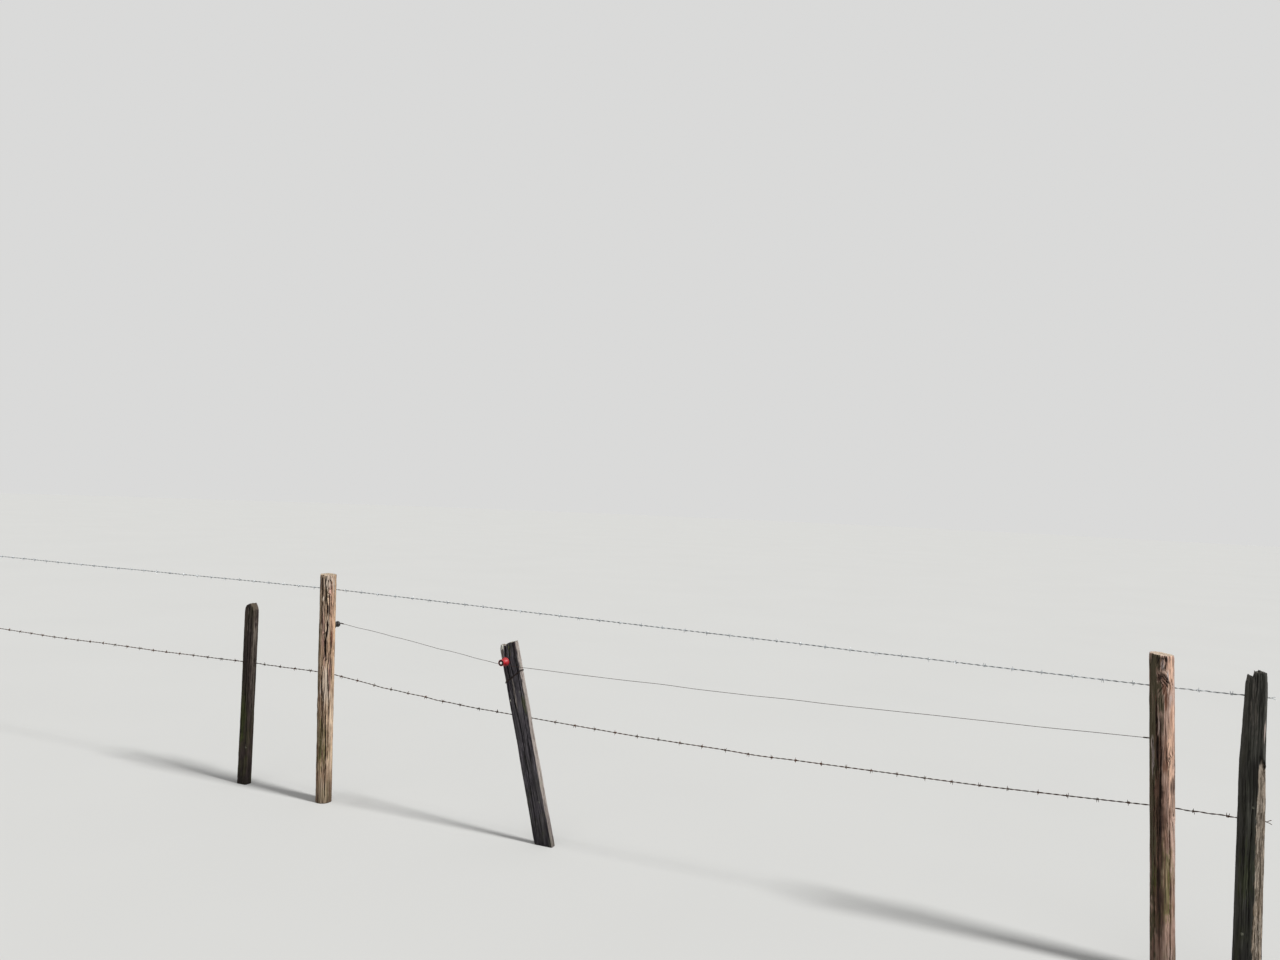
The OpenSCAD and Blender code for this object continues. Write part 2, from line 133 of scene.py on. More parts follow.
def round_post(name, node, foot, lean, height, slope, shakes, knots, patches, raised, ragged, checks, seed):
    """A driven pole. Shakes are [(height, degrees) ...], width, depth.

    Knots are height, degrees, size, sweep; a sweep lays the grain over as it passes the knot. Patches are
    kind, height, degrees, half height, half width in degrees, strength. The places of shakes and patches
    in their lists seed their ragged edges."""
    closer_at_top = np.interp(np.linspace(0, 1, post_rings), [0, rings_below, 1], [0, height_below, 1])
    turn, rise = np.meshgrid(np.arange(post_columns) / post_columns, closer_at_top)
    angle = 2 * np.pi * turn
    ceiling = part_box(node)[1].z

    def top(turn, angle, share):
        """Height of the worn top at a share of the radius."""
        x, y = post_radius * share * np.cos(angle), post_radius * share * np.sin(angle)
        worn = ragged * (0.25 + 0.75 * share ** 2) * relief(turn, share * 0.6, 34, 3, seed)
        broken = 2.2 * ragged * np.clip(relief(turn, 0 * share, 5, 1, seed + 1), -1, 0) * share ** 3
        return np.minimum(height + slope[0] * x + slope[1] * y + worn + broken, ceiling)

    z = rise * top(turn, angle, np.ones_like(turn))
    bowed, knot, swelling = angle.copy(), np.zeros_like(z), np.zeros_like(z)
    for knot_height, degrees, size, sweep in knots:
        offset = turned_by(angle, np.radians(degrees))
        far = np.hypot(offset * post_radius, 0.6 * (z - knot_height)) / size
        swept, parted = np.exp(-(far / 1.7) ** 2), np.exp(-(far / 2.4) ** 2)
        bowed += sweep * (z - knot_height) * swept - 0.8 * offset * parted
        knot = np.maximum(knot, np.clip(1 - far / knot_reach, 0, 1))
        swelling += 0.0016 * np.exp(-(far / 1.8) ** 2) - 0.0030 * np.exp(-(1.6 * far) ** 2)
    crack = np.zeros_like(z)
    for number, (path, width, depth) in enumerate(shakes):
        heights, degrees = np.array(path).T
        middle = np.radians(np.interp(z, heights, degrees))
        offset = turned_by(angle, middle) * post_radius
        open_top = heights[-1] >= height - 0.01
        crack = np.maximum(crack, shake(offset, z, heights[0], heights[-1], width, depth,
                                        seed + 7 * number, open_top))
    draw = np.random.default_rng(seed + 90)
    for number in range(checks):
        degrees, low, long = draw.uniform(0, 360), draw.uniform(-0.1, 1.05), draw.uniform(0.05, 0.26)
        offset = turned_by(bowed, np.radians(degrees)) * post_radius
        crack = np.maximum(crack, shake(offset, z, low, low + long, draw.uniform(*check_widths),
                                        draw.uniform(*check_depths), seed + 11 * number))
    grain_turn = bowed / (2 * np.pi)
    coarse, fine = relief(grain_turn, rise, 84, 13, seed + 2), relief(grain_turn, rise, 118, 40, seed + 3)
    fibres = raised * (coarse + 0.5 * fine)
    shape = 0.0010 * relief(turn, rise, 5, 4, seed + 4) - 0.0006
    arris = arris_wear * np.exp((z - z[-1]) / arris_drop) * (1 + 0.6 * relief(turn, 0 * z, 30, 1, seed + 5))
    radius = np.minimum(post_radius, post_radius - 2 * raised + shape + fibres + swelling - arris) - crack
    points = [np.stack([radius * np.cos(angle), radius * np.sin(angle), z], -1).reshape(-1, 3)]
    marks = {
        "grain": [np.stack([post_radius * np.cos(bowed), post_radius * np.sin(bowed), z], -1).reshape(-1, 3)],
        "opening": [np.clip(crack / post_crack_dark, 0, 1).ravel()],
        "knot": [knot.ravel()],
        "raised": [(fibres / raised).ravel()],
        "end_grain": [np.zeros(z.size)],
    }
    tinted = {kind: np.zeros_like(z) for kind, *_ in patches}
    for number, (kind, middle, degrees, half_height, half_degrees, strength) in enumerate(patches):
        aside = turned_by(angle, np.radians(degrees)) / np.radians(half_degrees)
        mask = weathered_patch((z - middle) / half_height, aside, turn, rise, strength, seed + 3 * number)
        tinted[kind] = np.maximum(tinted[kind], mask)
    marks.update({kind: [mask.ravel()] for kind, mask in tinted.items()})
    rim_angle, rim_radius = angle[0], radius[-1]
    for share in np.linspace(1, 0, top_rings + 1)[1:-1]:
        reach = rim_radius * share
        slit = np.zeros(post_columns)
        for degrees in draw.uniform(0, 360, slit_count):
            away = np.abs(turned_by(rim_angle, np.radians(degrees))) * reach / slit_width
            slit = np.maximum(slit, np.clip(1 - away, 0, 1))
        level = top(turn[0], rim_angle, np.full(post_columns, share)) - slit_depth * slit
        points.append(np.stack([reach * np.cos(rim_angle), reach * np.sin(rim_angle), level], -1))
        known = {"grain": points[-1], "opening": slit, "end_grain": np.ones(post_columns)}
        for mark, values in marks.items():
            values.append(known.get(mark, np.zeros(post_columns)))
    points.append(np.array([[0, 0, height - 0.001], [0, 0, 0]]))
    for mark, values in marks.items():
        values.append(points[-1] if mark == "grain" else np.full(2, mark == "end_grain", float))
    marks = {mark: np.concatenate(values) for mark, values in marks.items()}
    points = np.concatenate(points)
    points[:, 0] += foot[0] - np.tan(np.radians(lean)) * points[:, 2]
    rows = post_rings + top_rings - 1
    ring = np.arange(post_columns)
    triangles = np.concatenate([fan(ring + (rows - 1) * post_columns, rows * post_columns),
                                fan(ring[::-1], rows * post_columns + 1)])
    piece = make_piece(name, points, strip(rows, post_columns), triangles, **marks)
    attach(piece, "root")
    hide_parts(node)
    return piece


def colour(red, green, blue):
    """A surface colour from its red, green and blue out of 255, as a screen shows them."""
    share = np.array([red, green, blue]) / 255
    return (*np.where(share <= 0.04045, share / 12.92, ((share + 0.055) / 1.055) ** 2.4), 1)


def join_up(tree, node, inputs):
    """Joins a node's sockets to other nodes, or sets them to plain values."""
    for socket, value in inputs.items():
        if isinstance(value, bpy.types.NodeSocket):
            tree.links.new(value, node.inputs[socket])
        else:
            node.inputs[socket].default_value = value


def add(tree, kind, inputs=None, **settings):
    """A shader node with its settings made and its sockets joined to others or set."""
    made = tree.nodes.new(kind)
    for setting, value in settings.items():
        setattr(made, setting, value)
    join_up(tree, made, inputs or {})
    return made


def work(tree, operation, *values, clamp=True):
    """The result of one sum on values, kept between 0 and 1 unless clamp is off."""
    return add(tree, "ShaderNodeMath", dict(enumerate(values)), operation=operation,
               use_clamp=clamp).outputs[0]


def stretch(tree, value, low, high, to_low=0.0, to_high=1.0):
    """A value taken from one range to another, smoothly at both ends."""
    return add(tree, "ShaderNodeMapRange", {"Value": value, "From Min": low, "From Max": high,
               "To Min": to_low, "To Max": to_high}, interpolation_type="SMOOTHSTEP").outputs["Result"]


def blend_colours(tree, share, under, over, way="MIX"):
    """Two colours mixed by a share."""
    return add(tree, "ShaderNodeMix", {"Factor": share, 6: under, 7: over}, data_type="RGBA",
               blend_type=way).outputs[2]


def laid_over(tree, look, tint, mask, strength, way="MIX"):
    """A look with a tint laid over it where a mask is, at up to this strength."""
    return blend_colours(tree, work(tree, "MULTIPLY", mask, strength), look, tint, way)


def cloud(tree, place, scale, detail=3.0, roughness=0.55, squeeze=(1, 1, 1)):
    """Soft random values about a half, finer at a larger scale, squeezed along each axis."""
    moved = add(tree, "ShaderNodeMapping", {"Vector": place, "Scale": squeeze}).outputs["Vector"]
    return add(tree, "ShaderNodeTexNoise", {"Vector": moved, "Scale": scale, "Detail": detail,
               "Roughness": roughness}).outputs["Fac"]


def height_of(tree, place):
    """How high a place is."""
    return add(tree, "ShaderNodeSeparateXYZ", {0: place}).outputs["Z"]


def bumped(tree, height, strength, distance):
    """The slant of a surface that takes its fine relief from a height."""
    return add(tree, "ShaderNodeBump", {"Height": height, "Strength": strength,
               "Distance": distance}).outputs["Normal"]


def new_group(name, inputs, outputs):
    """An empty shader node group, what it is given and its output node. An input with no value is a place."""
    group = bpy.data.node_groups.new(name, "ShaderNodeTree")
    for socket, value in inputs.items():
        kind = "NodeSocketVector" if value is None else "NodeSocketFloat"
        made = group.interface.new_socket(socket, in_out="INPUT", socket_type=kind)
        if value is not None:
            made.default_value = value
    for socket in outputs:
        group.interface.new_socket(socket, in_out="OUTPUT", socket_type="NodeSocketFloat")
    return group, group.nodes.new("NodeGroupInput").outputs, group.nodes.new("NodeGroupOutput")


def place_group(tree, group, inputs):
    """A group placed in a material with its own values."""
    return add(tree, "ShaderNodeGroup", inputs, node_tree=group).outputs


def new_material(name):
    """A material with its tree and its shader."""
    material = bpy.data.materials.new(name)
    material.use_nodes = True
    return material, material.node_tree, material.node_tree.nodes["Principled BSDF"]


def mark_value(tree, name, output="Fac"):
    """A mark that was kept at a piece's points."""
    return add(tree, "ShaderNodeAttribute", attribute_name=name).outputs[output]


# Long streaks of summer and winter wood, silvered or dark, with fine fibres between them
grain_lines, given, out = new_group("grain_lines", {"Grain": None, "Streaks": 90.0},
                                    ["Streak", "Fibre", "Patch", "Hairline", "Fleck"])
streak = cloud(grain_lines, given["Grain"], given["Streaks"], 5, 0.68, (1, 1, 0.045))
fibre = cloud(grain_lines, given["Grain"], 420.0, 4, 0.7, (1, 1, 0.025))
patch = cloud(grain_lines, given["Grain"], 16.0, 3, 0.6, (1, 1, 0.35))
hairline = cloud(grain_lines, given["Grain"], 310.0, 2, 0.5, (1, 1, 0.022))
broken = cloud(grain_lines, given["Grain"], 55.0, 2, 0.5, (1, 1, 0.5))
fleck = cloud(grain_lines, given["Grain"], 380.0, 3, 0.6, (1, 1, 0.10))
join_up(grain_lines, out, {
    "Streak": stretch(grain_lines, streak, 0.38, 0.62),
    "Fibre": stretch(grain_lines, fibre, 0.36, 0.64),
    "Patch": stretch(grain_lines, patch, 0.36, 0.64),
    "Hairline": work(grain_lines, "MULTIPLY", stretch(grain_lines, hairline, 0.57, 0.63),
                     stretch(grain_lines, broken, 0.40, 0.52)),
    "Fleck": stretch(grain_lines, fleck, 0.54, 0.64)})

# Growth rings on a sawn top, round the middle of the pole
sawn_rings, given, out = new_group("sawn_rings", {"Grain": None}, ["Ring"])
flat = add(sawn_rings, "ShaderNodeMapping", {"Vector": given["Grain"], "Scale": (1, 1, 0)}).outputs[0]
reach = add(sawn_rings, "ShaderNodeVectorMath", {0: flat}, operation="LENGTH").outputs["Value"]
uneven = work(sawn_rings, "MULTIPLY_ADD", cloud(sawn_rings, flat, 60.0, 2), 0.004, reach, clamp=False)
turns = work(sawn_rings, "DIVIDE", uneven, growth_ring, clamp=False)
wave = work(sawn_rings, "FRACT", turns, clamp=False)
join_up(sawn_rings, out, {"Ring": stretch(sawn_rings, wave, 0.05, 0.95)})

# Broken rings round a knot, and its dark heart
knot_rings, given, out = new_group("knot_rings", {"Grain": None, "Knot": 0.0}, ["Ring", "Heart"])
drift = work(knot_rings, "MULTIPLY", cloud(knot_rings, given["Grain"], 80.0, 3), 9.0, clamp=False)
turns = work(knot_rings, "MULTIPLY_ADD", given["Knot"], 52.0, drift, clamp=False)
wave = stretch(knot_rings, work(knot_rings, "SINE", turns, clamp=False), -0.2, 0.9)
broken = stretch(knot_rings, cloud(knot_rings, given["Grain"], 130.0, 2), 0.35, 0.6)
near = stretch(knot_rings, given["Knot"], 0.45, 0.72)
join_up(knot_rings, out, {
    "Ring": work(knot_rings, "MULTIPLY", work(knot_rings, "MULTIPLY", wave, broken), near),
    "Heart": stretch(knot_rings, given["Knot"], 0.82, 0.94)})

# Green algae, thickest low down and in damp patches of the grain
green_film, given, out = new_group("green_film", {"Grain": None, "Amount": 0.4}, ["Mask"])
low_down = stretch(green_film, height_of(green_film, given["Grain"]), algae_height, 0.0)
patchy = stretch(green_film, cloud(green_film, given["Grain"], 24.0, 4, 0.62, (1, 1, 0.4)), 0.42, 0.68)
speckled = stretch(green_film, cloud(green_film, given["Grain"], 260.0, 2, 0.6, (1, 1, 0.5)), 0.35, 0.6)
film = work(green_film, "MULTIPLY", work(green_film, "MULTIPLY_ADD", low_down, 0.7, 0.3), patchy)
film = work(green_film, "MULTIPLY", film, work(green_film, "MULTIPLY_ADD", speckled, 0.6, 0.4))
join_up(green_film, out, {"Mask": work(green_film, "MULTIPLY", film, given["Amount"])})

# Small round crusts of pale lichen
lichen_crust, given, out = new_group("lichen_crust", {"Grain": None, "Amount": 0.3}, ["Mask"])
drift = add(lichen_crust, "ShaderNodeTexNoise", {"Vector": given["Grain"], "Scale": 130.0}).outputs["Color"]
ragged_place = add(lichen_crust, "ShaderNodeVectorMath", {0: drift, 1: [0.008] * 3, 2: given["Grain"]},
                   operation="MULTIPLY_ADD").outputs[0]
cells = add(lichen_crust, "ShaderNodeTexVoronoi", {"Vector": ragged_place, "Scale": 44.0}).outputs
crumbled = cloud(lichen_crust, given["Grain"], 520.0, 3, 0.7)
uneven = work(lichen_crust, "MULTIPLY_ADD", crumbled, 0.5, cells["Distance"], clamp=False)
chosen = add(lichen_crust, "ShaderNodeSeparateColor", {0: cells["Color"]}).outputs["Red"]
chosen = work(lichen_crust, "LESS_THAN", chosen, given["Amount"])
spots = stretch(lichen_crust, uneven, 0.56, 0.38)
join_up(lichen_crust, out, {"Mask": work(lichen_crust, "MULTIPLY", spots, chosen)})


def weathered_wood(name, pale, mid, dark, crack, end, tints, streaks=90.0, algae=0.4, lichen=0.0, bump=0.6,
                   foot_damp=0.25, furrows=0.3, flecks=0.0, chipped=None):
    """Old outdoor wood from its own five colours and its patches' tints, with algae and a damp foot.

    Where it is chipped, clean wood shows through all of them."""
    pale, mid, dark, crack, end = (colour(*shade) for shade in (pale, mid, dark, crack, end))
    material, tree, shader = new_material(name)
    grain, raised = mark_value(tree, "grain", "Vector"), mark_value(tree, "raised")
    lines = place_group(tree, grain_lines, {"Grain": grain, "Streaks": streaks})
    look = blend_colours(tree, lines["Streak"], dark, mid)
    crests = work(tree, "MULTIPLY_ADD", stretch(tree, raised, -0.9, 0.9), 0.6, 0.15)
    look = laid_over(tree, look, pale, crests, lines["Patch"])
    grainy = work(tree, "MULTIPLY_ADD", lines["Streak"], 0.7, -0.7, clamp=False)
    for kind, tint in tints.items():
        share = work(tree, "MULTIPLY_ADD", mark_value(tree, kind), 1.5, grainy)
        look = blend_colours(tree, share, look, colour(*tint))
    look = laid_over(tree, look, dark, lines["Fibre"], 0.36, "MULTIPLY")
    look = laid_over(tree, look, crack, stretch(tree, raised, 0.05, -0.85), furrows)
    look = laid_over(tree, look, pale, lines["Fleck"], flecks)
    look = laid_over(tree, look, crack, lines["Hairline"], 0.75)
    knot = place_group(tree, knot_rings, {"Grain": grain, "Knot": mark_value(tree, "knot")})
    look = laid_over(tree, look, crack, knot["Ring"], 0.65)
    look = laid_over(tree, look, crack, knot["Heart"], 0.88)
    rings = place_group(tree, sawn_rings, {"Grain": grain})["Ring"]
    sawn = laid_over(tree, end, dark, rings, 0.55)
    sawn = laid_over(tree, sawn, pale, lines["Patch"], 0.4)
    look = blend_colours(tree, mark_value(tree, "end_grain"), look, sawn)
    # Painted shade: shakes, checks and the slits in sawn tops are coloured dark inside, darker as they go
    # deeper.
    inside = laid_over(tree, crack, dark, lines["Streak"], lines["Fibre"])
    look = blend_colours(tree, stretch(tree, mark_value(tree, "opening"), 0.02, 0.6), look, inside)
    look = laid_over(tree, look, crack, stretch(tree, height_of(tree, grain), foot_damp, 0.0), 0.55)
    film = place_group(tree, green_film, {"Grain": grain, "Amount": algae})["Mask"]
    look = blend_colours(tree, film, look, colour(96, 104, 48))
    crust = place_group(tree, lichen_crust, {"Grain": grain, "Amount": lichen})["Mask"]
    look = laid_over(tree, look, colour(158, 160, 142), crust, 0.6)
    if chipped:
        clean = laid_over(tree, colour(*chipped), mid, lines["Fibre"], 0.15)
        clean = laid_over(tree, clean, crack, lines["Hairline"], 0.45)
        share = work(tree, "MULTIPLY_ADD", mark_value(tree, "chipped"), 1.5, grainy)
        look = blend_colours(tree, share, look, clean)
    surface = work(tree, "ADD", lines["Fibre"], lines["Streak"], clamp=False)
    surface = work(tree, "MULTIPLY_ADD", lines["Hairline"], -1.6, surface, clamp=False)
    surface = work(tree, "MULTIPLY_ADD", crust, 0.8, surface, clamp=False)
    join_up(tree, shader, {
        "Base Color": look,
        "Specular IOR Level": 0.25,
        "Roughness": stretch(tree, lines["Fibre"], 0, 1, 0.78, 0.95),
        "Normal": bumped(tree, surface, bump, 0.0011)})
    return material


left_post = round_post(
    "left_round_post", "left_post", feet["foot_left"], 0.8, 1.117, (0.05, -0.035),
    [([(0, 212), (0.5, 216), (1.117, 214)], 0.0052, 0.014),
     ([(0.1, 322), (0.7, 317), (1.117, 318)], 0.0062, 0.019),
     ([(0.3, 20), (0.9, 12), (1.117, 15)], 0.0045, 0.010),
     ([(0.2, 268), (0.55, 262), (0.95, 270)], 0.0045, 0.008),
     ([(0.4, 128), (0.8, 122), (1.117, 126)], 0.0045, 0.010)],
    [(0.82, 240, 0.013, 0), (0.47, 300, 0.011, 6), (0.61, 120, 0.012, -6)],
    [("silver", 0.95, 250, 0.20, 40, 0.7), ("silver", 0.60, 60, 0.35, 50, 0.6),
     ("warm", 0.70, 310, 0.30, 40, 0.6), ("stain", 1.08, 200, 0.06, 60, 0.6),
     ("green", 0.34, 230, 0.16, 60, 0.6)],
    0.0009, 0.0016, 60, 11)
middle_post = round_post(
    "middle_round_post", "middle_post", feet["foot_middle"], 1.7, 1.117, (-0.03, 0.06),
    [([(0.66, 298), (0.72, 305), (0.78, 298), (0.83, 309), (0.87, 315), (0.91, 307), (0.96, 311),
       (1.00, 302), (1.05, 301), (1.085, 291)], 0.0084, 0.021),
     ([(1.04, 296), (1.08, 287), (1.117, 284)], 0.0044, 0.012),
     ([(1.040, 318), (1.056, 310), (1.080, 309), (1.098, 318)], 0.0056, 0.012),
     ([(1.040, 324), (1.054, 336), (1.078, 338), (1.098, 326)], 0.0056, 0.012),
     ([(0.84, 266), (0.89, 271), (0.95, 262), (1.03, 269), (1.117, 264)], 0.0090, 0.014),
     ([(0.90, 339), (0.96, 345), (1.01, 337), (1.085, 343)], 0.0042, 0.011),
     ([(0.80, 356), (0.86, 350), (0.91, 340), (0.935, 326), (0.95, 310)], 0.0040, 0.008),
     ([(0.35, 341), (0.62, 334), (0.80, 342), (0.92, 336)], 0.0058, 0.016),
     ([(0.88, 322), (0.96, 327), (1.045, 321)], 0.0046, 0.012),
     ([(0.1, 268), (0.4, 282), (0.62, 276), (0.74, 283)], 0.0056, 0.012),
     ([(0, 316), (0.2, 318), (0.5, 312)], 0.0056, 0.014),
     ([(0, 170), (0.6, 166), (1.117, 172)], 0.0056, 0.015),
     ([(0.2, 60), (0.6, 66), (1.117, 58)], 0.0052, 0.014),
     ([(0.95, 296), (1.05, 291), (1.117, 297)], 0.0042, 0.008),
     ([(0.72, 288), (0.85, 292), (0.97, 286)], 0.0046, 0.010),
     ([(0.50, 325), (0.62, 322), (0.76, 327)], 0.0048, 0.010),
     ([(0.30, 297), (0.45, 292), (0.60, 301)], 0.0048, 0.010),
     ([(0.55, 351), (0.75, 355), (0.90, 350)], 0.0042, 0.008),
     ([(0.5, 128), (0.8, 122), (1.05, 126)], 0.0046, 0.010)],
    [(0.70, 306, 0.011, -8), (1.015, 318, 0.009, 18), (0.84, 288, 0.009, -16), (0.45, 225, 0.012, 0),
     (0.90, 140, 0.012, 5)],
    # The long damp patch round 226 degrees is painted shade over the side turned away from the sun.
    [("stain", 1.07, 256, 0.07, 27, 0.6), ("damp", 1.03, 300, 0.07, 16, 0.9),
     ("chipped", 1.070, 323, 0.017, 6, 0.7), ("reddish", 0.80, 345, 0.05, 10, 0.7),
     ("stain", 0.66, 337, 0.10, 9, 0.7), ("warm", 0.92, 345, 0.20, 26, 0.7),
     ("stain", 0.93, 268, 0.09, 9, 0.8), ("stain", 0.72, 310, 0.03, 14, 0.5),
     ("chipped", 1.003, 275, 0.020, 13, 1.0), ("mauve", 0.62, 336, 0.12, 12, 0.8),
     ("mauve", 0.86, 281, 0.12, 9, 0.8), ("mauve", 1.05, 326, 0.08, 11, 0.7),
     ("mauve", 0.72, 296, 0.10, 9, 0.7), ("damp", 0.90, 344, 0.06, 14, 0.5),
     ("warm", 0.86, 288, 0.07, 9, 0.9), ("silver", 0.90, 320, 0.10, 7, 0.8),
     ("warm", 1.04, 344, 0.12, 30, 0.9), ("stain", 0.98, 330, 0.10, 5, 0.6),
     # The silver strip at 1.07 and 358 degrees, on the edge facing the sun, is silvered wood with a painted
     # highlight.
     ("stain", 0.60, 318, 0.09, 5, 0.7), ("silver", 1.07, 358, 0.05, 17, 1.0),
     ("silver", 0.90, 271, 0.05, 6, 1.0), ("silver", 0.84, 296, 0.06, 5, 0.8),
     ("silver", 1.09, 310, 0.05, 40, 0.9), ("silver", 0.56, 300, 0.12, 50, 0.7),
     ("silver", 0.70, 120, 0.40, 60, 0.7), ("damp", 0.70, 226, 0.62, 30, 0.8),
     ("warm", 0.75, 285, 0.12, 18, 0.6), ("green", 0.30, 280, 0.16, 70, 0.6)],
    0.0013, 0.0030, 110, 23)
right_post = round_post(
    "right_round_post", "right_post", feet["foot_right"], 1.9, 1.105, (-0.035, 0.05),
    [([(0.22, 240), (0.66, 238), (0.80, 238), (0.93, 236), (1.03, 234)], 0.0056, 0.018),
     ([(0.45, 250), (0.70, 257), (0.80, 258), (0.90, 253)], 0.0062, 0.018),
     ([(0.05, 249), (0.45, 248), (0.70, 249), (0.80, 247)], 0.0340, 0.0066),
     ([(0.70, 247), (0.77, 247), (0.84, 246)], 0.0310, 0.0062),
     ([(0.80, 239), (0.88, 239), (0.97, 236)], 0.0080, 0.018),
     ([(0.50, 230), (0.66, 228), (0.79, 231)], 0.0036, 0.009),
     ([(0.58, 249), (0.68, 246), (0.78, 250)], 0.0040, 0.014),
     ([(1.052, 279), (1.08, 282), (1.105, 277)], 0.0046, 0.010),
     ([(1.04, 262), (1.07, 265), (1.098, 263)], 0.0030, 0.005),
     ([(0.93, 286), (0.97, 289), (1.0, 284)], 0.0028, 0.004),
     ([(0.72, 283), (0.80, 287), (0.88, 284)], 0.0030, 0.005),
     ([(1.020, 295), (1.029, 284), (1.041, 272)], 0.0060, 0.008),
     ([(1.008, 295), (1.018, 284), (1.027, 272), (1.037, 260)], 0.0060, 0.008),
     ([(0.992, 292), (1.003, 286), (1.013, 275), (1.022, 264)], 0.0056, 0.007),
     ([(0.986, 305), (1.008, 301), (1.022, 293)], 0.0046, 0.007),
     ([(0.998, 326), (1.012, 317), (1.027, 311)], 0.0044, 0.005),
     ([(1.006, 251), (1.018, 248), (1.031, 240)], 0.0044, 0.006),
     ([(1.014, 257), (1.024, 251), (1.040, 250)], 0.0062, 0.008),
     ([(0.994, 275), (1.005, 266), (1.018, 256)], 0.0044, 0.006),
     ([(0, 218), (0.5, 222), (0.84, 214)], 0.0050, 0.012),
     ([(0, 300), (0.3, 304), (0.62, 296)], 0.0052, 0.012),
     ([(0, 350), (0.5, 346), (1.105, 351)], 0.0045, 0.013),
     ([(0, 198), (0.6, 201), (1.105, 196)], 0.0050, 0.013),
     ([(0.2, 54), (0.7, 50), (1.105, 55)], 0.0055, 0.014),
     ([(0.1, 132), (0.5, 138), (0.9, 130)], 0.0045, 0.010)],
    [(1.028, 259, 0.013, 24), (0.755, 300, 0.008, 10), (0.56, 330, 0.011, 0), (0.72, 30, 0.012, -6)],
    # The wide damp patch round 212 degrees is painted shade over the side turned away from the sun.
    [("damp", 1.080, 250, 0.050, 14, 1.0), ("stain", 1.080, 252, 0.030, 6, 0.8),
     ("stain", 1.036, 262, 0.010, 20, 0.8), ("stain", 1.014, 288, 0.018, 10, 0.7),
     ("stain", 1.092, 285, 0.012, 6, 0.9), ("stain", 0.66, 325, 0.035, 32, 0.6),
     ("stain", 0.86, 259, 0.05, 6, 0.5), ("reddish", 0.992, 279, 0.022, 14, 0.8),
     # The stain band at 1.094 and 262 degrees, just under the rim, is painted shade under the worn sawn edge.
     ("reddish", 1.018, 276, 0.018, 20, 0.5), ("stain", 1.094, 262, 0.007, 24, 0.8),
     ("stain", 1.088, 246, 0.024, 6, 0.7), ("reddish", 0.955, 283, 0.055, 10, 1.0),
     ("reddish", 0.80, 280, 0.10, 9, 0.65), ("reddish", 0.885, 306, 0.040, 22, 0.5),
     ("reddish", 0.735, 281, 0.060, 16, 0.65), ("stain", 0.745, 260, 0.07, 7, 0.7),
     ("reddish", 0.755, 305, 0.008, 20, 0.45), ("silver", 1.074, 267, 0.024, 7, 1.0),
     ("silver", 1.040, 293, 0.030, 6, 0.9), ("silver", 0.75, 217, 0.10, 12, 1.0),
     ("silver", 0.86, 251, 0.04, 4.5, 0.8), ("silver", 0.95, 307, 0.040, 12, 0.6),
     ("silver", 0.60, 20, 0.70, 50, 0.4), ("silver", 0.70, 100, 0.40, 60, 0.7),
     ("warm", 0.77, 309, 0.17, 30, 1.0), ("warm", 1.06, 310, 0.08, 26, 1.0),
     ("warm", 0.88, 318, 0.08, 22, 0.8), ("warm", 0.62, 300, 0.08, 16, 0.5),
     ("damp", 0.70, 212, 0.80, 46, 1.0), ("damp", 1.08, 226, 0.05, 26, 1.0),
     ("damp", 0.955, 258, 0.066, 25, 1.0), ("damp", 0.92, 236, 0.14, 14, 0.9),
     ("damp", 0.88, 264, 0.04, 12, 0.5), ("green", 0.34, 270, 0.18, 70, 0.6)],
    0.0009, 0.0014, 70, 37)
post_woods = {
    left_post: weathered_wood(
        "left_post_wood", (190, 170, 142), (150, 128, 102), (98, 80, 62), (44, 34, 26), (172, 156, 132),
        {"silver": (168, 160, 148), "warm": (182, 142, 108), "stain": (70, 58, 50), "green": (92, 100, 52)}),
    middle_post: weathered_wood(
        "middle_post_wood", (255, 232, 204), (224, 188, 154), (112, 82, 64), (34, 20, 21), (200, 182, 158),
        # The damp tint is partly the wood's own damp colour and partly painted shade.
        {"damp": (116, 102, 78), "stain": (68, 50, 60), "warm": (222, 182, 154), "silver": (230, 212, 194),
         "mauve": (212, 170, 156), "reddish": (150, 98, 80), "green": (104, 106, 56)},
        algae=0.3, furrows=0.5, flecks=0.2, chipped=(255, 240, 220)),
    right_post: weathered_wood(
        "right_post_wood", (241, 213, 198), (216, 182, 164), (160, 124, 107), (36, 24, 21), (224, 208, 184),
        # The damp tint is partly the wood's own damp colour and partly painted shade on the side away from
        # the sun.
        {"damp": (106, 98, 78), "warm": (255, 213, 186), "reddish": (136, 94, 75), "silver": (222, 206, 201),
         "stain": (44, 30, 27), "green": (112, 116, 54)},
        100.0, algae=0.3, furrows=0.12),
}
for post, wood in post_woods.items():
    post.data.materials.append(wood)


# Old stub, dark post and stake: cleft hardwood from an earlier fence, left standing when the round posts
# were driven. Their tops have torn along the grain and their faces have weathered grey to near black.
side_count = 78
edge_count = 30
timber_rings = 170
# Cracks in the old timbers are painted dark inside, fully at this depth: painted shade in the crack.
timber_crack_dark = 0.006
timber_check_widths, timber_check_depths = (0.0018, 0.0036), (0.0014, 0.0040)
top_wear, wear_drop = 0.0016, 0.006
corner_power = 8


def rounded_square(a, b):
    """How far to draw each point of a square in, so that its corners turn softly."""
    return (np.abs(a) ** corner_power + np.abs(b) ** corner_power) ** (-1 / corner_power)


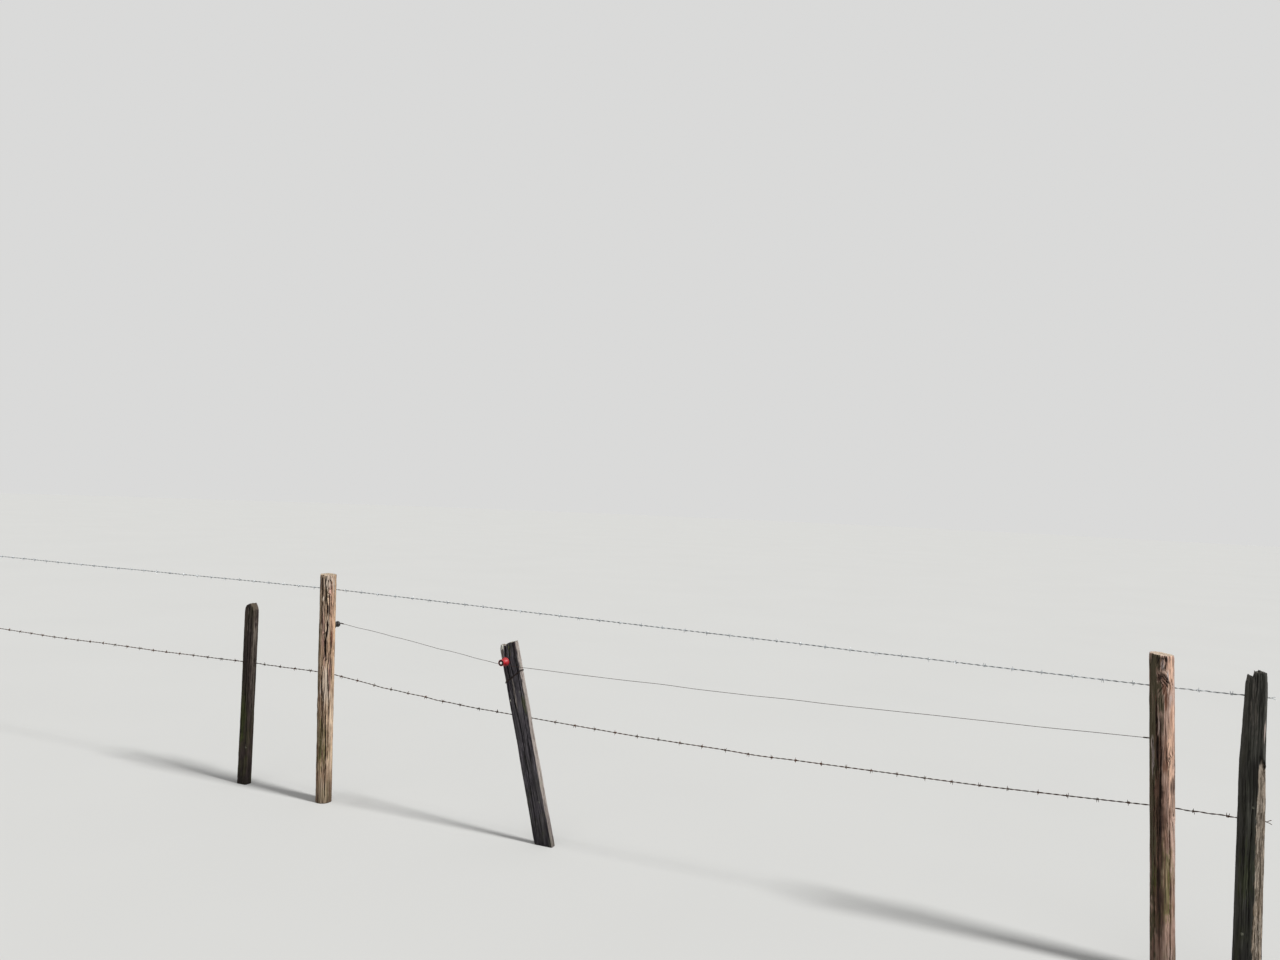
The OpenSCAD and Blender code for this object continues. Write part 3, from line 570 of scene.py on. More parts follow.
def old_timber(name, node, outline, top_edge, cracks, patches, raised, torn, checks, place, seed,
               raw=None):
    """A cleft post from its outline at a height. Cracks are side, [(height, across) ...], width, depth.

    Patches are kind, side, height, across, half height, half width, strength. The places of cracks and
    patches in their lists seed their ragged edges."""
    face = np.linspace(-1, 1, side_count, endpoint=False)
    edge = np.linspace(-1, 1, edge_count, endpoint=False)
    a = np.concatenate([face, np.ones(edge_count), -face, -np.ones(edge_count)])
    b = np.concatenate([-np.ones(side_count), edge, np.ones(side_count), -edge])
    columns = len(a)
    sides = np.repeat(["front", "right", "back", "left"], [side_count, edge_count, side_count, edge_count])
    turn = np.arange(columns) / columns
    drawn_in = rounded_square(a, b)
    splinters = torn * (relief(turn, 0 * turn, 96, 1, seed) + 0.7 * relief(turn, 0 * turn, 37, 1, seed + 1))
    top = top_edge(a) + splinters
    turns, rise = np.meshgrid(turn, np.linspace(0, 1, timber_rings))
    z = rise * top
    x, y = outline(np.broadcast_to(a * drawn_in, z.shape), np.broadcast_to(b * drawn_in, z.shape), z)
    step_x, step_y = np.roll(x, -1, 1) - np.roll(x, 1, 1), np.roll(y, -1, 1) - np.roll(y, 1, 1)
    length = np.maximum(np.hypot(step_x, step_y), 1e-9)
    out_x, out_y = step_y / length, -step_x / length
    crack = np.zeros_like(z)
    for number, (side, path, width, depth) in enumerate(cracks):
        heights, middles = np.array(path).T
        across = x if side in ("front", "back") else y
        offset = np.where(sides == side, across - np.interp(z, heights, middles), 1.0)
        open_top = heights[-1] >= 0.8 * top.max() and side in ("front", "back")
        crack = np.maximum(crack, shake(offset, z, heights[0], heights[-1], width, depth,
                                        seed + 7 * number, open_top))
    draw = np.random.default_rng(seed + 90)
    for number in range(checks):
        side = ("front", "back", "front", "back", "right", "left")[number % 6]
        low, long = draw.uniform(-0.1, 0.9 * top.max()), draw.uniform(0.05, 0.3)
        across = x if side in ("front", "back") else y
        middle = draw.uniform(across.min(), across.max())
        offset = np.where(sides == side, across - middle, 1.0)
        crack = np.maximum(crack, shake(offset, z, low, low + long, draw.uniform(*timber_check_widths),
                                        draw.uniform(*timber_check_depths), seed + 11 * number))
    ridges = relief(turns, rise, 92, 9, seed + 2) + 0.6 * relief(turns, rise, 61, 5, seed + 3)
    fibres = raised * (1 - np.abs(ridges)) * 1.3 + 0.4 * raised * relief(turns, rise, 108, 42, seed + 4)
    worn = top_wear * np.exp((z - top) / wear_drop)
    sink = crack + 1.5 * raised - fibres + worn
    points = np.stack([x - out_x * sink, y - out_y * sink, z], -1)
    foot_middle = points[0].mean(0)
    share = (np.arange(1, edge_count) / edge_count)[:, None, None]
    between = np.arange(1, side_count)
    inner = points[-1, between] * (1 - share) + points[-1, 2 * side_count + edge_count - between] * share
    rough = relief(np.broadcast_to(between / side_count, inner.shape[:2]),
                   np.broadcast_to(share[:, :, 0], inner.shape[:2]), 50, 9, seed + 5)
    inner[:, :, 2] += 1.1 * torn * rough * np.sin(np.pi * share[:, :, 0]) - 0.3 * torn
    count, inner_count = points.shape[0] * columns, inner.shape[0] * inner.shape[1]
    last = (timber_rings - 1) * columns

    def top_corner(i, j):
        """Number of the point at a place across and a place through the torn top."""
        inside = count + (j - 1) * (side_count - 1) + i - 1
        on_front, on_back = last + i, last + 2 * side_count + edge_count - i
        on_right, on_left = last + side_count + j, last + (2 * (side_count + edge_count) - j) % columns
        edge = np.where(i == 0, on_left, np.where(i == side_count, on_right, inside))
        return np.where(j == 0, on_front, np.where(j == edge_count, on_back, edge))

    i, j = np.meshgrid(np.arange(side_count), np.arange(edge_count), indexing="ij")
    corners = ((i, j), (i + 1, j), (i + 1, j + 1), (i, j + 1))
    lid = np.stack([top_corner(*corner) for corner in corners], -1)
    quads = np.concatenate([strip(timber_rings, columns), lid.reshape(-1, 4)])
    every = np.concatenate([points.reshape(-1, 3), inner.reshape(-1, 3), [foot_middle]])
    spare = np.zeros(inner_count + 1)
    marks = {
        "grain": every.copy(),
        "opening": np.concatenate([np.clip(crack / timber_crack_dark, 0, 1).ravel(), spare]),
        "knot": np.zeros(len(every)),
        "raised": np.concatenate([(2 * fibres / (1.7 * raised) - 1).ravel(), spare]),
        "end_grain": np.concatenate([np.zeros(z.size), spare + 1]),
    }
    if raw:
        marks["bare"] = np.concatenate([raw(x, y, z).ravel(), spare])
    for number, (kind, side, middle, off, half_height, half_width, strength) in enumerate(patches):
        across = x if side in ("front", "back") else y
        aside = (across - off) / half_width
        mask = weathered_patch((z - middle) / half_height, aside, turns, rise, strength, seed + 3 * number)
        mask = np.concatenate([(mask * (sides == side)).ravel(), spare])
        marks[kind] = np.maximum(marks.get(kind, 0), mask)
    piece = make_piece(name, place(every), quads, fan(np.arange(columns)[::-1], len(every) - 1), **marks)
    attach(piece, "root")
    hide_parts(node)
    return piece


# The stub is a thick board on a lean, split down from its top, with a sliver standing left of the split
stub_width, stub_thick, stub_long, stub_lean = 0.088, 0.034, 0.911, np.radians(14.6)
stub_foot_x = feet["foot_stub"][0]
stub_front = post_radius - stub_thick
stub_edge = [(-0.52, 24), (-0.46, 13), (-0.38, 6), (-0.25, 8), (-0.19, 16), (-0.165, 56), (-0.125, 58),
             (-0.10, 18), (-0.05, 6), (0.12, 2), (0.3, 4), (0.46, 1), (0.52, 2)]


def stub_outline(a, b, height):
    swell = 1 + 0.012 * np.sin(9 * height + 1) + 0.01 * np.sin(23 * height)
    return 0.5 * stub_width * a * swell * 0.99, 0.5 * stub_thick * (1 + b * 0.98)


def stub_top(a):
    return stub_long - 0.001 * np.interp(a / 2, *np.array(stub_edge).T)


def on_stub(points):
    """Points of the upright stub, leaned over on its foot and cut level at the ground."""
    across, through, along = points.T
    x = stub_foot_x + across * np.cos(stub_lean) - along * np.sin(stub_lean)
    z = across * np.sin(stub_lean) + along * np.cos(stub_lean)
    low = np.clip(1 - along / 0.08, 0, 1)
    level = np.maximum(z * (1 - low), 0)
    return np.stack([x + (level - z) * np.tan(-stub_lean), stub_front + through, level], -1)


stub = old_timber(
    "old_stub_board", "old_stub", stub_outline, stub_top,
    [("front", [(0.55, -0.012), (0.75, -0.019), (0.84, -0.020), (0.911, -0.0125)], 0.0054, 0.016),
     ("back", [(0.60, -0.014), (0.85, -0.019), (0.911, -0.014)], 0.0050, 0.012),
     ("front", [(0.74, 0.006), (0.84, -0.001), (0.911, 0.013)], 0.0042, 0.009),
     ("front", [(0.30, 0.014), (0.55, 0.022), (0.80, 0.027)], 0.0046, 0.008),
     ("front", [(0.02, -0.022), (0.30, -0.008), (0.66, -0.006)], 0.0050, 0.009),
     ("back", [(0.05, 0.016), (0.40, 0.010), (0.70, 0.018)], 0.0050, 0.009),
     ("right", [(0.10, 0.016), (0.5, 0.019), (0.83, 0.015)], 0.0030, 0.005),
     ("left", [(0.05, 0.014), (0.4, 0.019), (0.72, 0.016)], 0.0034, 0.006)],
    # The silver patch over the whole right face, turned to the sun, is weathered grey wood made paler than
    # the other faces as painted sunlight.
    [("silver", "right", 0.50, 0.017, 1.40, 0.050, 1.0), ("stain", "right", 0.86, 0.004, 0.022, 0.005, 0.9),
     ("stain", "right", 0.80, 0.002, 0.030, 0.007, 0.9), ("stain", "right", 0.73, 0.003, 0.012, 0.006, 0.8),
     ("silver", "left", 0.50, 0.017, 0.60, 0.040, 0.4),
     ("chipped", "front", 0.897, -0.032, 0.019, 0.0125, 1.0),
     ("chipped", "left", 0.892, 0.008, 0.016, 0.012, 0.9),
     ("silver", "front", 0.855, -0.034, 0.070, 0.011, 0.7),
     ("chipped", "front", 0.650, -0.036, 0.008, 0.0035, 1.0),
     ("chipped", "front", 0.700, -0.0055, 0.016, 0.0018, 0.7),
     ("chipped", "front", 0.655, -0.0065, 0.016, 0.0018, 0.7),
     ("silver", "front", 0.667, -0.006, 0.080, 0.0055, 1.0),
     ("stain", "front", 0.885, 0.038, 0.030, 0.012, 1.0),
     ("green", "front", 0.870, 0.006, 0.040, 0.005, 1.0), ("green", "front", 0.62, 0.030, 0.05, 0.012, 0.6),
     ("stain", "front", 0.80, -0.030, 0.030, 0.012, 0.7),
     ("stain", "front", 0.72, -0.026, 0.03, 0.014, 0.5), ("stain", "front", 0.86, 0.036, 0.030, 0.010, 0.9),
     ("silver", "back", 0.50, 0.010, 0.45, 0.020, 0.5)],
    0.0013, 0.0022, 70, on_stub, 51)
stub.data.materials.append(weathered_wood(
    "stub_wood", (138, 132, 139), (96, 92, 97), (60, 56, 62), (23, 20, 25), (176, 166, 150),
    {"silver": (190, 178, 170), "stain": (52, 40, 50), "green": (104, 110, 60)},
    120.0, algae=0.25, lichen=0.06, bump=0.8, flecks=0.30, chipped=(255, 254, 240)))

# The dark post keeps its bark-black skin, and a raw facet shows low down where a slab has torn away
cleft_height, cleft_thick = 1.078, 0.066
cleft_x = feet["foot_cleft"][0]
cleft_front = post_radius - cleft_thick
cleft_right = [(0, 43), (0.647, 39.1), (0.765, 34), (1.038, 32.5)]
cleft_left = [(0, -43), (0.776, -41.3), (0.911, -35.7), (0.970, -32.3), (1.038, -31.2)]
cleft_edge = [(-0.5, 42), (-0.485, 33), (-0.45, 23), (-0.34, 20), (-0.25, 20), (-0.17, 25), (-0.12, 8),
              (-0.04, 4), (0.06, 5), (0.18, 2), (0.3, 4), (0.40, 5), (0.455, 11), (0.5, 34)]
slab_torn_at, slab_torn_slope = 0.783, 1.9
slab_middle, slab_edge = 0.018, 0.012
ridge_across, ridge_under_slab = 0.006, 0.014
facet_fall, slab_thick = 0.044, 0.010
bevel_across, bevel_deep = -0.028, 0.022


def torn_slab(x, height):
    """How far a point of the right facet is above the torn end of the slab that still covers it."""
    ragged = 0.010 * relief(x / 0.1, 0 * x, 46, 1, 8) + 0.006 * relief(x / 0.1, 0 * x, 110, 1, 9)
    return height - slab_torn_at + slab_torn_slope * (x - slab_middle) + ragged


def cleft_outline(a, b, height):
    right, left = (0.001 * np.interp(height, *np.array(edge).T) for edge in (cleft_right, cleft_left))
    x = left + (right - left) * (a + 1) / 2
    skin = np.clip(torn_slab(x, height) / slab_edge + 0.5, 0, 1)
    ridge = ridge_across + ridge_under_slab * skin
    past_ridge = np.clip((x - ridge) / np.maximum(right - ridge, 0.001), 0, 1)
    front = cleft_front + past_ridge * (facet_fall - slab_thick * skin)
    past_bevel = np.clip((bevel_across - x) / np.maximum(bevel_across - left, 0.001), 0, 1)
    bevel = past_bevel * bevel_deep
    return x, front + bevel + (post_radius - front - bevel) * (b + 1) / 2


def cleft_top(a):
    return cleft_height - 0.001 * np.interp(a / 2, *np.array(cleft_edge).T)


def bare_facet(x, y, height):
    """Where the raw wood shows: on the right facet, below the torn end of the slab."""
    edge = np.interp(height, [0.55, 0.745, 0.790], [0.0045, 0.0052, 0.0130])
    edge = edge + 0.0036 * relief(0 * x, height, 1, 64, 12)
    from_ridge = np.clip((x - edge) / 0.002, 0, 1)
    return from_ridge * (y < post_radius - 0.010) * np.clip(-torn_slab(x, height) / 0.006, 0, 1)


def on_cleft(points):
    return points + np.array([cleft_x, 0, 0])


cleft_post = old_timber(
    "old_dark_cleft_post", "old_cleft_post", cleft_outline, cleft_top,
    [("front", [(0.81, 0.0285), (0.90, 0.0275), (0.95, 0.0290)], 0.0034, 0.006),
     ("front", [(1.045, 0.006), (1.06, 0.008), (1.078, 0.007)], 0.0030, 0.004),
     ("front", [(0.10, -0.030), (0.50, -0.026), (0.80, -0.028)], 0.0036, 0.005),
     ("front", [(0.16, -0.006), (0.42, -0.010), (0.70, -0.004)], 0.0040, 0.006),
     ("front", [(0.06, 0.030), (0.30, 0.026), (0.62, 0.029)], 0.0036, 0.006),
     ("front", [(0.40, 0.019), (0.55, 0.021), (0.71, 0.0185)], 0.0030, 0.005),
     ("back", [(0.10, -0.010), (0.60, -0.004), (1.078, -0.010)], 0.0060, 0.014),
     ("back", [(0.20, 0.020), (0.60, 0.016), (0.90, 0.020)], 0.0046, 0.009),
     ("left", [(0.10, 0.016), (0.50, 0.020), (0.90, 0.018)], 0.0040, 0.008)],
    [("chipped", "front", 0.882, 0.0225, 0.050, 0.0036, 1.0),
     ("silver", "front", 0.95, -0.010, 0.12, 0.016, 0.45),
     ("stain", "front", 0.70, -0.005, 0.12, 0.020, 0.6), ("green", "front", 0.40, -0.015, 0.12, 0.03, 0.5),
     ("silver", "back", 0.70, 0.0, 0.40, 0.03, 0.4)],
    0.0010, 0.0026, 84, on_cleft, 67, bare_facet)


def so_far(material):
    """A material's tree, its shader and the look that it has so far."""
    tree = material.node_tree
    shader = tree.nodes["Principled BSDF"]
    return tree, shader, shader.inputs["Base Color"].links[0].from_socket


cleft_wood = weathered_wood(
    "cleft_wood", (94, 93, 87), (73, 72, 67), (54, 53, 49), (15, 13, 13), (66, 60, 54),
    {"silver": (140, 132, 124), "stain": (32, 28, 27), "green": (70, 78, 42)},
    120.0, algae=0.2, lichen=0.03, bump=0.5, foot_damp=0.2, furrows=0.10, chipped=(184, 168, 160))
tree, shader, skin_look = so_far(cleft_wood)
grain = mark_value(tree, "grain", "Vector")
raw_lines = place_group(tree, grain_lines, {"Grain": grain, "Streaks": 210.0})
dark_streak = stretch(tree, cloud(tree, grain, 130.0, 3, 0.6, (1, 1, 0.20)), 0.49, 0.57)
specks = stretch(tree, cloud(tree, grain, 300.0, 3, 0.6, (1, 1, 0.4)), 0.54, 0.62)
raw_look = blend_colours(tree, raw_lines["Streak"], colour(84, 71, 56), colour(196, 180, 162))
# The last of these paints the raw facet's cracks dark inside as painted shade.
for mask, strength, tint in ((raw_lines["Patch"], 0.55, (150, 146, 138)),
                             (raw_lines["Fibre"], 0.45, (118, 98, 80)),
                             (dark_streak, 0.8, (66, 56, 44)),
                             (specks, 0.55, (88, 76, 62)),
                             (raw_lines["Hairline"], 1.0, (48, 38, 32)),
                             (stretch(tree, mark_value(tree, "opening"), 0.1, 0.7), 1.0, (50, 40, 32))):
    raw_look = laid_over(tree, raw_look, colour(*tint), mask, strength)
join_up(tree, shader, {"Base Color": blend_colours(tree, mark_value(tree, "bare"), skin_look, raw_look)})
cleft_post.data.materials.append(cleft_wood)

# The stake is a thin split length with a slanting top, the narrowest of the three
stake_width, stake_thick, stake_height = 0.062, 0.044, 0.932
stake_x = feet["foot_stake"][0]
stake_edge = [(-0.5, 30), (-0.25, 10), (0.15, 0), (0.45, 30), (0.5, 34)]


def stake_outline(a, b, height):
    return (0.5 * stake_width * a * (0.985 + 0.012 * np.sin(11 * height)),
            post_radius - stake_thick * 0.5 * (1 - b) * (0.985 + 0.012 * np.sin(7 * height + 2)))


def stake_top(a):
    return stake_height - 0.001 * np.interp(a / 2, *np.array(stake_edge).T)


def on_stake(points):
    return points + np.array([stake_x, 0, 0])


stake = old_timber(
    "old_split_stake", "old_stake", stake_outline, stake_top,
    [("front", [(0.20, -0.006), (0.60, 0.004), (0.932, -0.002)], 0.0052, 0.012),
     ("front", [(0.10, 0.018), (0.50, 0.016), (0.80, 0.020)], 0.0040, 0.007),
     ("back", [(0.30, 0.006), (0.60, -0.002), (0.932, 0.004)], 0.0050, 0.012),
     ("right", [(0.10, 0.020), (0.50, 0.016), (0.90, 0.020)], 0.0040, 0.007),
     ("left", [(0.10, 0.022), (0.50, 0.026), (0.86, 0.020)], 0.0040, 0.007)],
    [("silver", "front", 0.84, 0.004, 0.10, 0.016, 0.6), ("silver", "right", 0.60, 0.018, 0.35, 0.020, 0.6),
     ("green", "front", 0.34, -0.010, 0.16, 0.03, 0.7), ("stain", "front", 0.62, -0.012, 0.14, 0.018, 0.6),
     ("silver", "back", 0.55, 0.0, 0.35, 0.025, 0.5)],
    0.0012, 0.0026, 60, on_stake, 83)
stake.data.materials.append(weathered_wood(
    "stake_wood", (112, 98, 92), (78, 65, 61), (52, 43, 41), (22, 18, 18), (96, 84, 74),
    {"silver": (140, 128, 118), "stain": (40, 32, 34), "green": (84, 92, 50)},
    120.0, lichen=0.05, bump=0.7))


# Strands: two galvanised wires laid round each other, strained along the backs of the posts and stapled.
# The top one is newer and bright; the lower one is slack, dull and starting to rust.
ply_radius = 0.00125
ply_sides = 8
strand_reach = 2 * ply_radius
strand_lay = 0.052
strand_step = 0.0043
wire_clearance = 0.0002
strand_y = post_radius + wire_clearance + strand_reach
lower_sag, long_sag = 0.013, 0.024
end_short = 0.0008
splay_run = 0.03
# A point nearer to the strand's middle than this many wire radii lies in the groove between the wires, and is
# painted dark as shade
groove_mouth = 1.65


def bearing(staple):
    """The middle of the strand where a staple on the back of a post holds it."""
    low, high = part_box(staple)
    return np.array([(low.x + high.x) / 2, strand_y, (low.z + high.z) / 2])


def strand_end(node, beside, at_left):
    """An end of a strand, level with the staple that holds it."""
    low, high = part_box(node)
    return np.array([low.x if at_left else high.x - end_short, strand_y, beside[2]])


def stops_of(node, *staples):
    """Where a strand is held, from its left end by way of its staples to its right end."""
    held = [bearing(staple) for staple in staples]
    return [strand_end(node, held[0], True), *held, strand_end(node, held[-1], False)]


def hung(stops, sags, step, seed, wander=0.0):
    """Even points along a wire that hangs between its stops, a little out of true between them."""
    line = []
    for number, (start, end, sag) in enumerate(zip(stops, stops[1:], sags)):
        share = np.arange(0, 1, step / np.linalg.norm(end - start))
        bow = 4 * share * (1 - share)
        kinks = wander * bow * relief(0 * share, share, 1, 14, seed + number)
        lean = wander * bow * relief(0 * share, share, 1, 11, seed + 50 + number)
        off = np.stack([0 * share, lean, kinks - sag * bow], -1)
        line.append(start + share[:, None] * (end - start) + off)
    return np.concatenate([*line, [stops[-1]]])


def unit(vectors):
    return vectors / np.maximum(np.linalg.norm(vectors, axis=-1, keepdims=True), 1e-12)


def across_line(line, up):
    """Two directions square to a line of points at each point of it."""
    ahead = unit(np.gradient(line, axis=0))
    across = unit(np.cross(np.broadcast_to(np.array(up, float), line.shape), ahead))
    return across, np.cross(ahead, across)


def laid_round(line, reach, lay, start, up=(0, 0, 1)):
    """A wire's middle as it winds round a line of points, one turn in each lay."""
    across, over = across_line(line, up)
    run = np.concatenate([[0], np.cumsum(np.linalg.norm(np.diff(line, axis=0), axis=1))])
    angle = (start + 2 * np.pi * run / lay)[:, None]
    return line + reach * (np.cos(angle) * across + np.sin(angle) * over)


def tube(line, radius, sides, up=(0, 0, 1)):
    """Points and faces of a round wire along a line, closed at both ends."""
    across, over = across_line(line, up)
    angle = 2 * np.pi * np.arange(sides) / sides
    radius = np.broadcast_to(radius, len(line))[:, None, None]
    ring = np.cos(angle)[:, None] * across[:, None] + np.sin(angle)[:, None] * over[:, None]
    points = np.concatenate([(line[:, None] + radius * ring).reshape(-1, 3), line[[0, -1]]])
    count, first = len(line) * sides, np.arange(sides)
    ends = np.concatenate([fan(first[::-1], count), fan(first + count - sides, count + 1)])
    return points, strip(len(line), sides), ends


def join(parts):
    """Several parts as one set of points and faces."""
    starts = np.cumsum([0] + [len(points) for points, _, _ in parts])
    return (np.concatenate([points for points, _, _ in parts]),
            np.concatenate([quads + start for (_, quads, _), start in zip(parts, starts)]),
            np.concatenate([ends + start for (_, _, ends), start in zip(parts, starts)]))


def fixed_piece(name, parts, slot, material, *nodes, **marks):
    """A piece from its parts, which stands for its solids and takes the material it is given; its slot is not
    used.
    """
    piece = make_piece(name, *join(parts), **marks)
    piece.data.materials.append(material)
    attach(piece, "root")
    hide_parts(*nodes)
    return piece


# Zinc that has dulled in patches, and rust that breaks through it
zinc_wear, given, out = new_group("zinc_wear", {"Place": None, "Rust": 0.2}, ["Dull", "Rusted", "Pitting"])
dulled = cloud(zinc_wear, given["Place"], 60.0, 4, 0.6)
spread = cloud(zinc_wear, given["Place"], 23.0, 5, 0.68)
edge = work(zinc_wear, "SUBTRACT", 0.78, given["Rust"], clamp=False)
over = work(zinc_wear, "SUBTRACT", spread, edge, clamp=False)
join_up(zinc_wear, out, {
    "Dull": stretch(zinc_wear, dulled, 0.38, 0.62),
    "Rusted": stretch(zinc_wear, over, 0.0, 0.10),
    "Pitting": cloud(zinc_wear, given["Place"], 1400.0, 2)})


def weathered_zinc(name, bright, dull, rusty, rust, metal, smooth, rough):
    """Galvanised steel from its bright, dull and rusty colours, with painted shade where two wires meet."""
    material, tree, shader = new_material(name)
    place = add(tree, "ShaderNodeTexCoord").outputs["Object"]
    wear = place_group(tree, zinc_wear, {"Place": place, "Rust": rust})
    groove = mark_value(tree, "groove")
    look = blend_colours(tree, wear["Dull"], colour(*bright), colour(*dull))
    look = blend_colours(tree, wear["Rusted"], look, colour(*rusty))
    # Painted shade: the groove between the two wires is coloured nearly black.
    look = blend_colours(tree, groove, look, colour(50, 46, 42))
    rust_and_groove_shade = work(tree, "MAXIMUM", wear["Rusted"], groove)
    worn = work(tree, "MAXIMUM", wear["Dull"], rust_and_groove_shade)
    join_up(tree, shader, {
        "Base Color": look,
        "Metallic": stretch(tree, rust_and_groove_shade, 0, 1, metal, 0.1),
        "Roughness": stretch(tree, worn, 0, 1, smooth, rough),
        "Normal": bumped(tree, wear["Pitting"], 0.35, 0.0003)})
    return material


bright_wire = weathered_zinc("bright_galvanised_wire", (216, 220, 222), (168, 172, 175), (122, 92, 70),
                             0.10, 0.55, 0.34, 0.55)
dull_wire = weathered_zinc("dull_galvanised_wire", (132, 126, 118), (98, 90, 82), (92, 60, 42),
                           0.34, 0.5, 0.5, 0.8)
top_stops = stops_of("top_strand", "top_staple_middle", "top_staple_right", "top_staples_cleft")
lower_stops = stops_of("lower_strand", "lower_staple_stake", "lower_staple_middle", "lower_staple_stub",
                       "lower_staple_right", "lower_staples_cleft")
top_line = hung(top_stops, [0.0] * 4, strand_step, 301, 0.0010)
lower_line = hung(lower_stops, [lower_sag, 0.0, lower_sag, long_sag, 0.0, 0.0], strand_step, 321, 0.0022)
strands = (("top_strand", top_line, "bright_wire", bright_wire),
           ("lower_strand", lower_line, "dull_wire", dull_wire))
end_splays = 0.004, 0.006


def two_ply(line, splay):
    """A strand's two wires, apart a little at the cut end, and how deep in their groove each point is, which
    sets the painted shade there.
    """
    parts, groove = [], []
    for start in (0, np.pi):
        wire = laid_round(line, ply_radius, strand_lay, start)
        left = np.linalg.norm(line - line[-1], axis=1)
        loose = np.clip(1 - left / splay_run, 0, 1) ** 2
        wire += splay * np.cos(start) * loose[:, None] * np.array([0, 0.35, 1.0])
        parts.append(tube(wire, ply_radius, ply_sides))
        round_line = parts[-1][0][:-2].reshape(len(line), ply_sides, 3) - line[:, None]
        down = groove_mouth - np.linalg.norm(round_line, axis=2) / ply_radius
        groove += [np.clip(1.4 * down, 0, 1).ravel(), [0, 0]]
    return parts, np.concatenate(groove)


for (node, line, slot, wire), splay in zip(strands, end_splays):
    wires, groove = two_ply(line, splay)
    fixed_piece(node + "_wires", wires, slot, wire, node, groove=groove)


# Made-off ends: each strand is taken once round the left post, brought back along under itself, and its
# cut end is wound tightly round the line wire.
coil_run = 0.046
coil_lay = 0.0085


def made_off(line, node):
    """The strand's end round the left post and then round its own line."""
    axis_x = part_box(node)[0].x + strand_y + strand_reach
    level, drop = line[0][2], 2 * strand_reach + wire_clearance
    share = np.linspace(0, 1, 70)
    angle = np.pi / 2 + 2 * np.pi * share
    turn = np.stack([axis_x + strand_y * np.cos(angle), strand_y * np.sin(angle), level - drop * share], -1)
    onward = turn[-1] + np.linspace(0.003, 0.020, 5)[:, None] * np.array([1.0, 0, 0.0])
    around = np.concatenate([turn, onward])
    start = np.searchsorted(line[:, 0], onward[-1][0])
    own_line = line[start:start + int(coil_run / strand_step)]
    fine = np.linspace(0, len(own_line) - 1, 90)
    own_line = np.stack([np.interp(fine, np.arange(len(own_line)), column) for column in own_line.T], -1)
    parts = []
    for phase in (0, np.pi):
        wire = laid_round(around, ply_radius, strand_lay, phase)
        coil = laid_round(own_line, strand_reach + ply_radius, coil_lay, -np.pi / 2 + phase)
        parts += [tube(wire, ply_radius, ply_sides), tube(coil, ply_radius, ply_sides)]
    return parts


for node, line, slot, wire in strands:
    fixed_piece(node + "_made_off", made_off(line, node + "_wrap"), slot, wire, node + "_wrap")


# Barbs: at every hundred millimetres two short wires are wound round the strand, and their four ends are
# cut on the slant and left standing out in a cross.
barb_pitch = 0.100
barb_radius = 0.0010
barb_length = 0.0112
barb_turn = np.radians(137)
barb_room = 0.014
barb_sides = 6
wound_steps = 15
wound_apart, wound_half = 0.0021, 0.0011
first_room, end_room = 0.02, 0.001
made_off_half, cleft_half = 0.062, 0.045


def barb(middle, ahead, turn):
    """One four-pointed barb round a strand."""
    side = unit(np.cross(ahead, [0, 0, 1.0]))
    top = np.cross(side, ahead)
    coil = strand_reach + barb_radius
    lengths = barb_length * np.array([0.25, 0.6, 0.86, 1.0])
    taper = np.array([0.22, 0.75, 1, 1])
    radius = barb_radius * np.concatenate([taper, np.ones(wound_steps), taper[::-1]])
    parts = []
    for number, shift in enumerate((-wound_apart, wound_apart)):
        angle = turn + number * np.pi / 2 + np.linspace(0, 2.5 * np.pi, wound_steps)
        along = shift + np.linspace(-wound_half, wound_half, wound_steps)
        ring = np.cos(angle)[:, None] * side + np.sin(angle)[:, None] * top
        ends = np.cos(angle)[:, None] * top - np.sin(angle)[:, None] * side
        wound = middle + along[:, None] * ahead + coil * ring
        first = wound[0] - lengths[::-1, None] * ends[0]
        last = wound[-1] + lengths[:, None] * ends[-1]
        parts.append(tube(np.concatenate([first, wound, last]), radius, barb_sides, ahead))
    return parts


def barbs_along(line, node, stops, half_widths):
    """The barbs of a strand, on one pitch from its left end, clear of the posts."""
    low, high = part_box(node)
    left = feet["foot_left"][0]
    parts = []
    for number in range(1, int((line[-1][0] - left) / barb_pitch) + 1):
        x = left + number * barb_pitch
        close = [abs(x - stop[0]) < half + barb_room for stop, half in zip(stops, half_widths)]
        if low.x - end_room < x - first_room and x + end_room < high.x and not any(close):
            place = min(np.searchsorted(line[:, 0], x), len(line) - 2)
            ahead = unit(line[place + 1] - line[place - 1])
            parts += barb(line[place], ahead, number * barb_turn)
    return parts


top_barbs = barbs_along(top_line, "top_barbs", top_stops,
                        [made_off_half, post_radius, post_radius, cleft_half])
lower_barbs = barbs_along(lower_line, "lower_barbs", lower_stops,
                          [made_off_half, stake_width / 2, post_radius, stub_width, post_radius, cleft_half])
fixed_piece("top_strand_barbs", top_barbs, "bright_wire", bright_wire, "top_barbs")
fixed_piece("lower_strand_barbs", lower_barbs, "dull_wire", dull_wire, "lower_barbs")


# Staples: round galvanised wire bent to a U and hammered over each strand, a little askew, with its legs
# in the wood. Two hold each strand where it ends on the dark post.
staple_radius = 0.0018
staple_sides = 12
staple_leg = 0.0052
staple_turn = np.radians(20)
staple_bend = strand_reach + wire_clearance + staple_radius
staple_pitch = 0.026


def staple(middle, outward, along, turn):
    """A staple over a strand, from inside the wood, over its crown and back."""
    up = np.cos(turn) * np.array([0, 0, 1.0]) + np.sin(turn) * along
    leg = np.linspace(-staple_leg, 0, 5)[:, None]
    angle = np.linspace(0, np.pi, 17)[1:-1, None]
    crown = staple_bend * (np.cos(angle) * up + 0.95 * np.sin(angle) * outward)
    line = np.concatenate([staple_bend * up + leg * outward, crown, leg[::-1] * outward - staple_bend * up])
    hammered = staple_radius * (1 - 0.12 * np.exp(-np.linspace(-3, 3, len(line)) ** 2))
    return tube(middle + line, hammered, staple_sides, np.cross(up, outward))


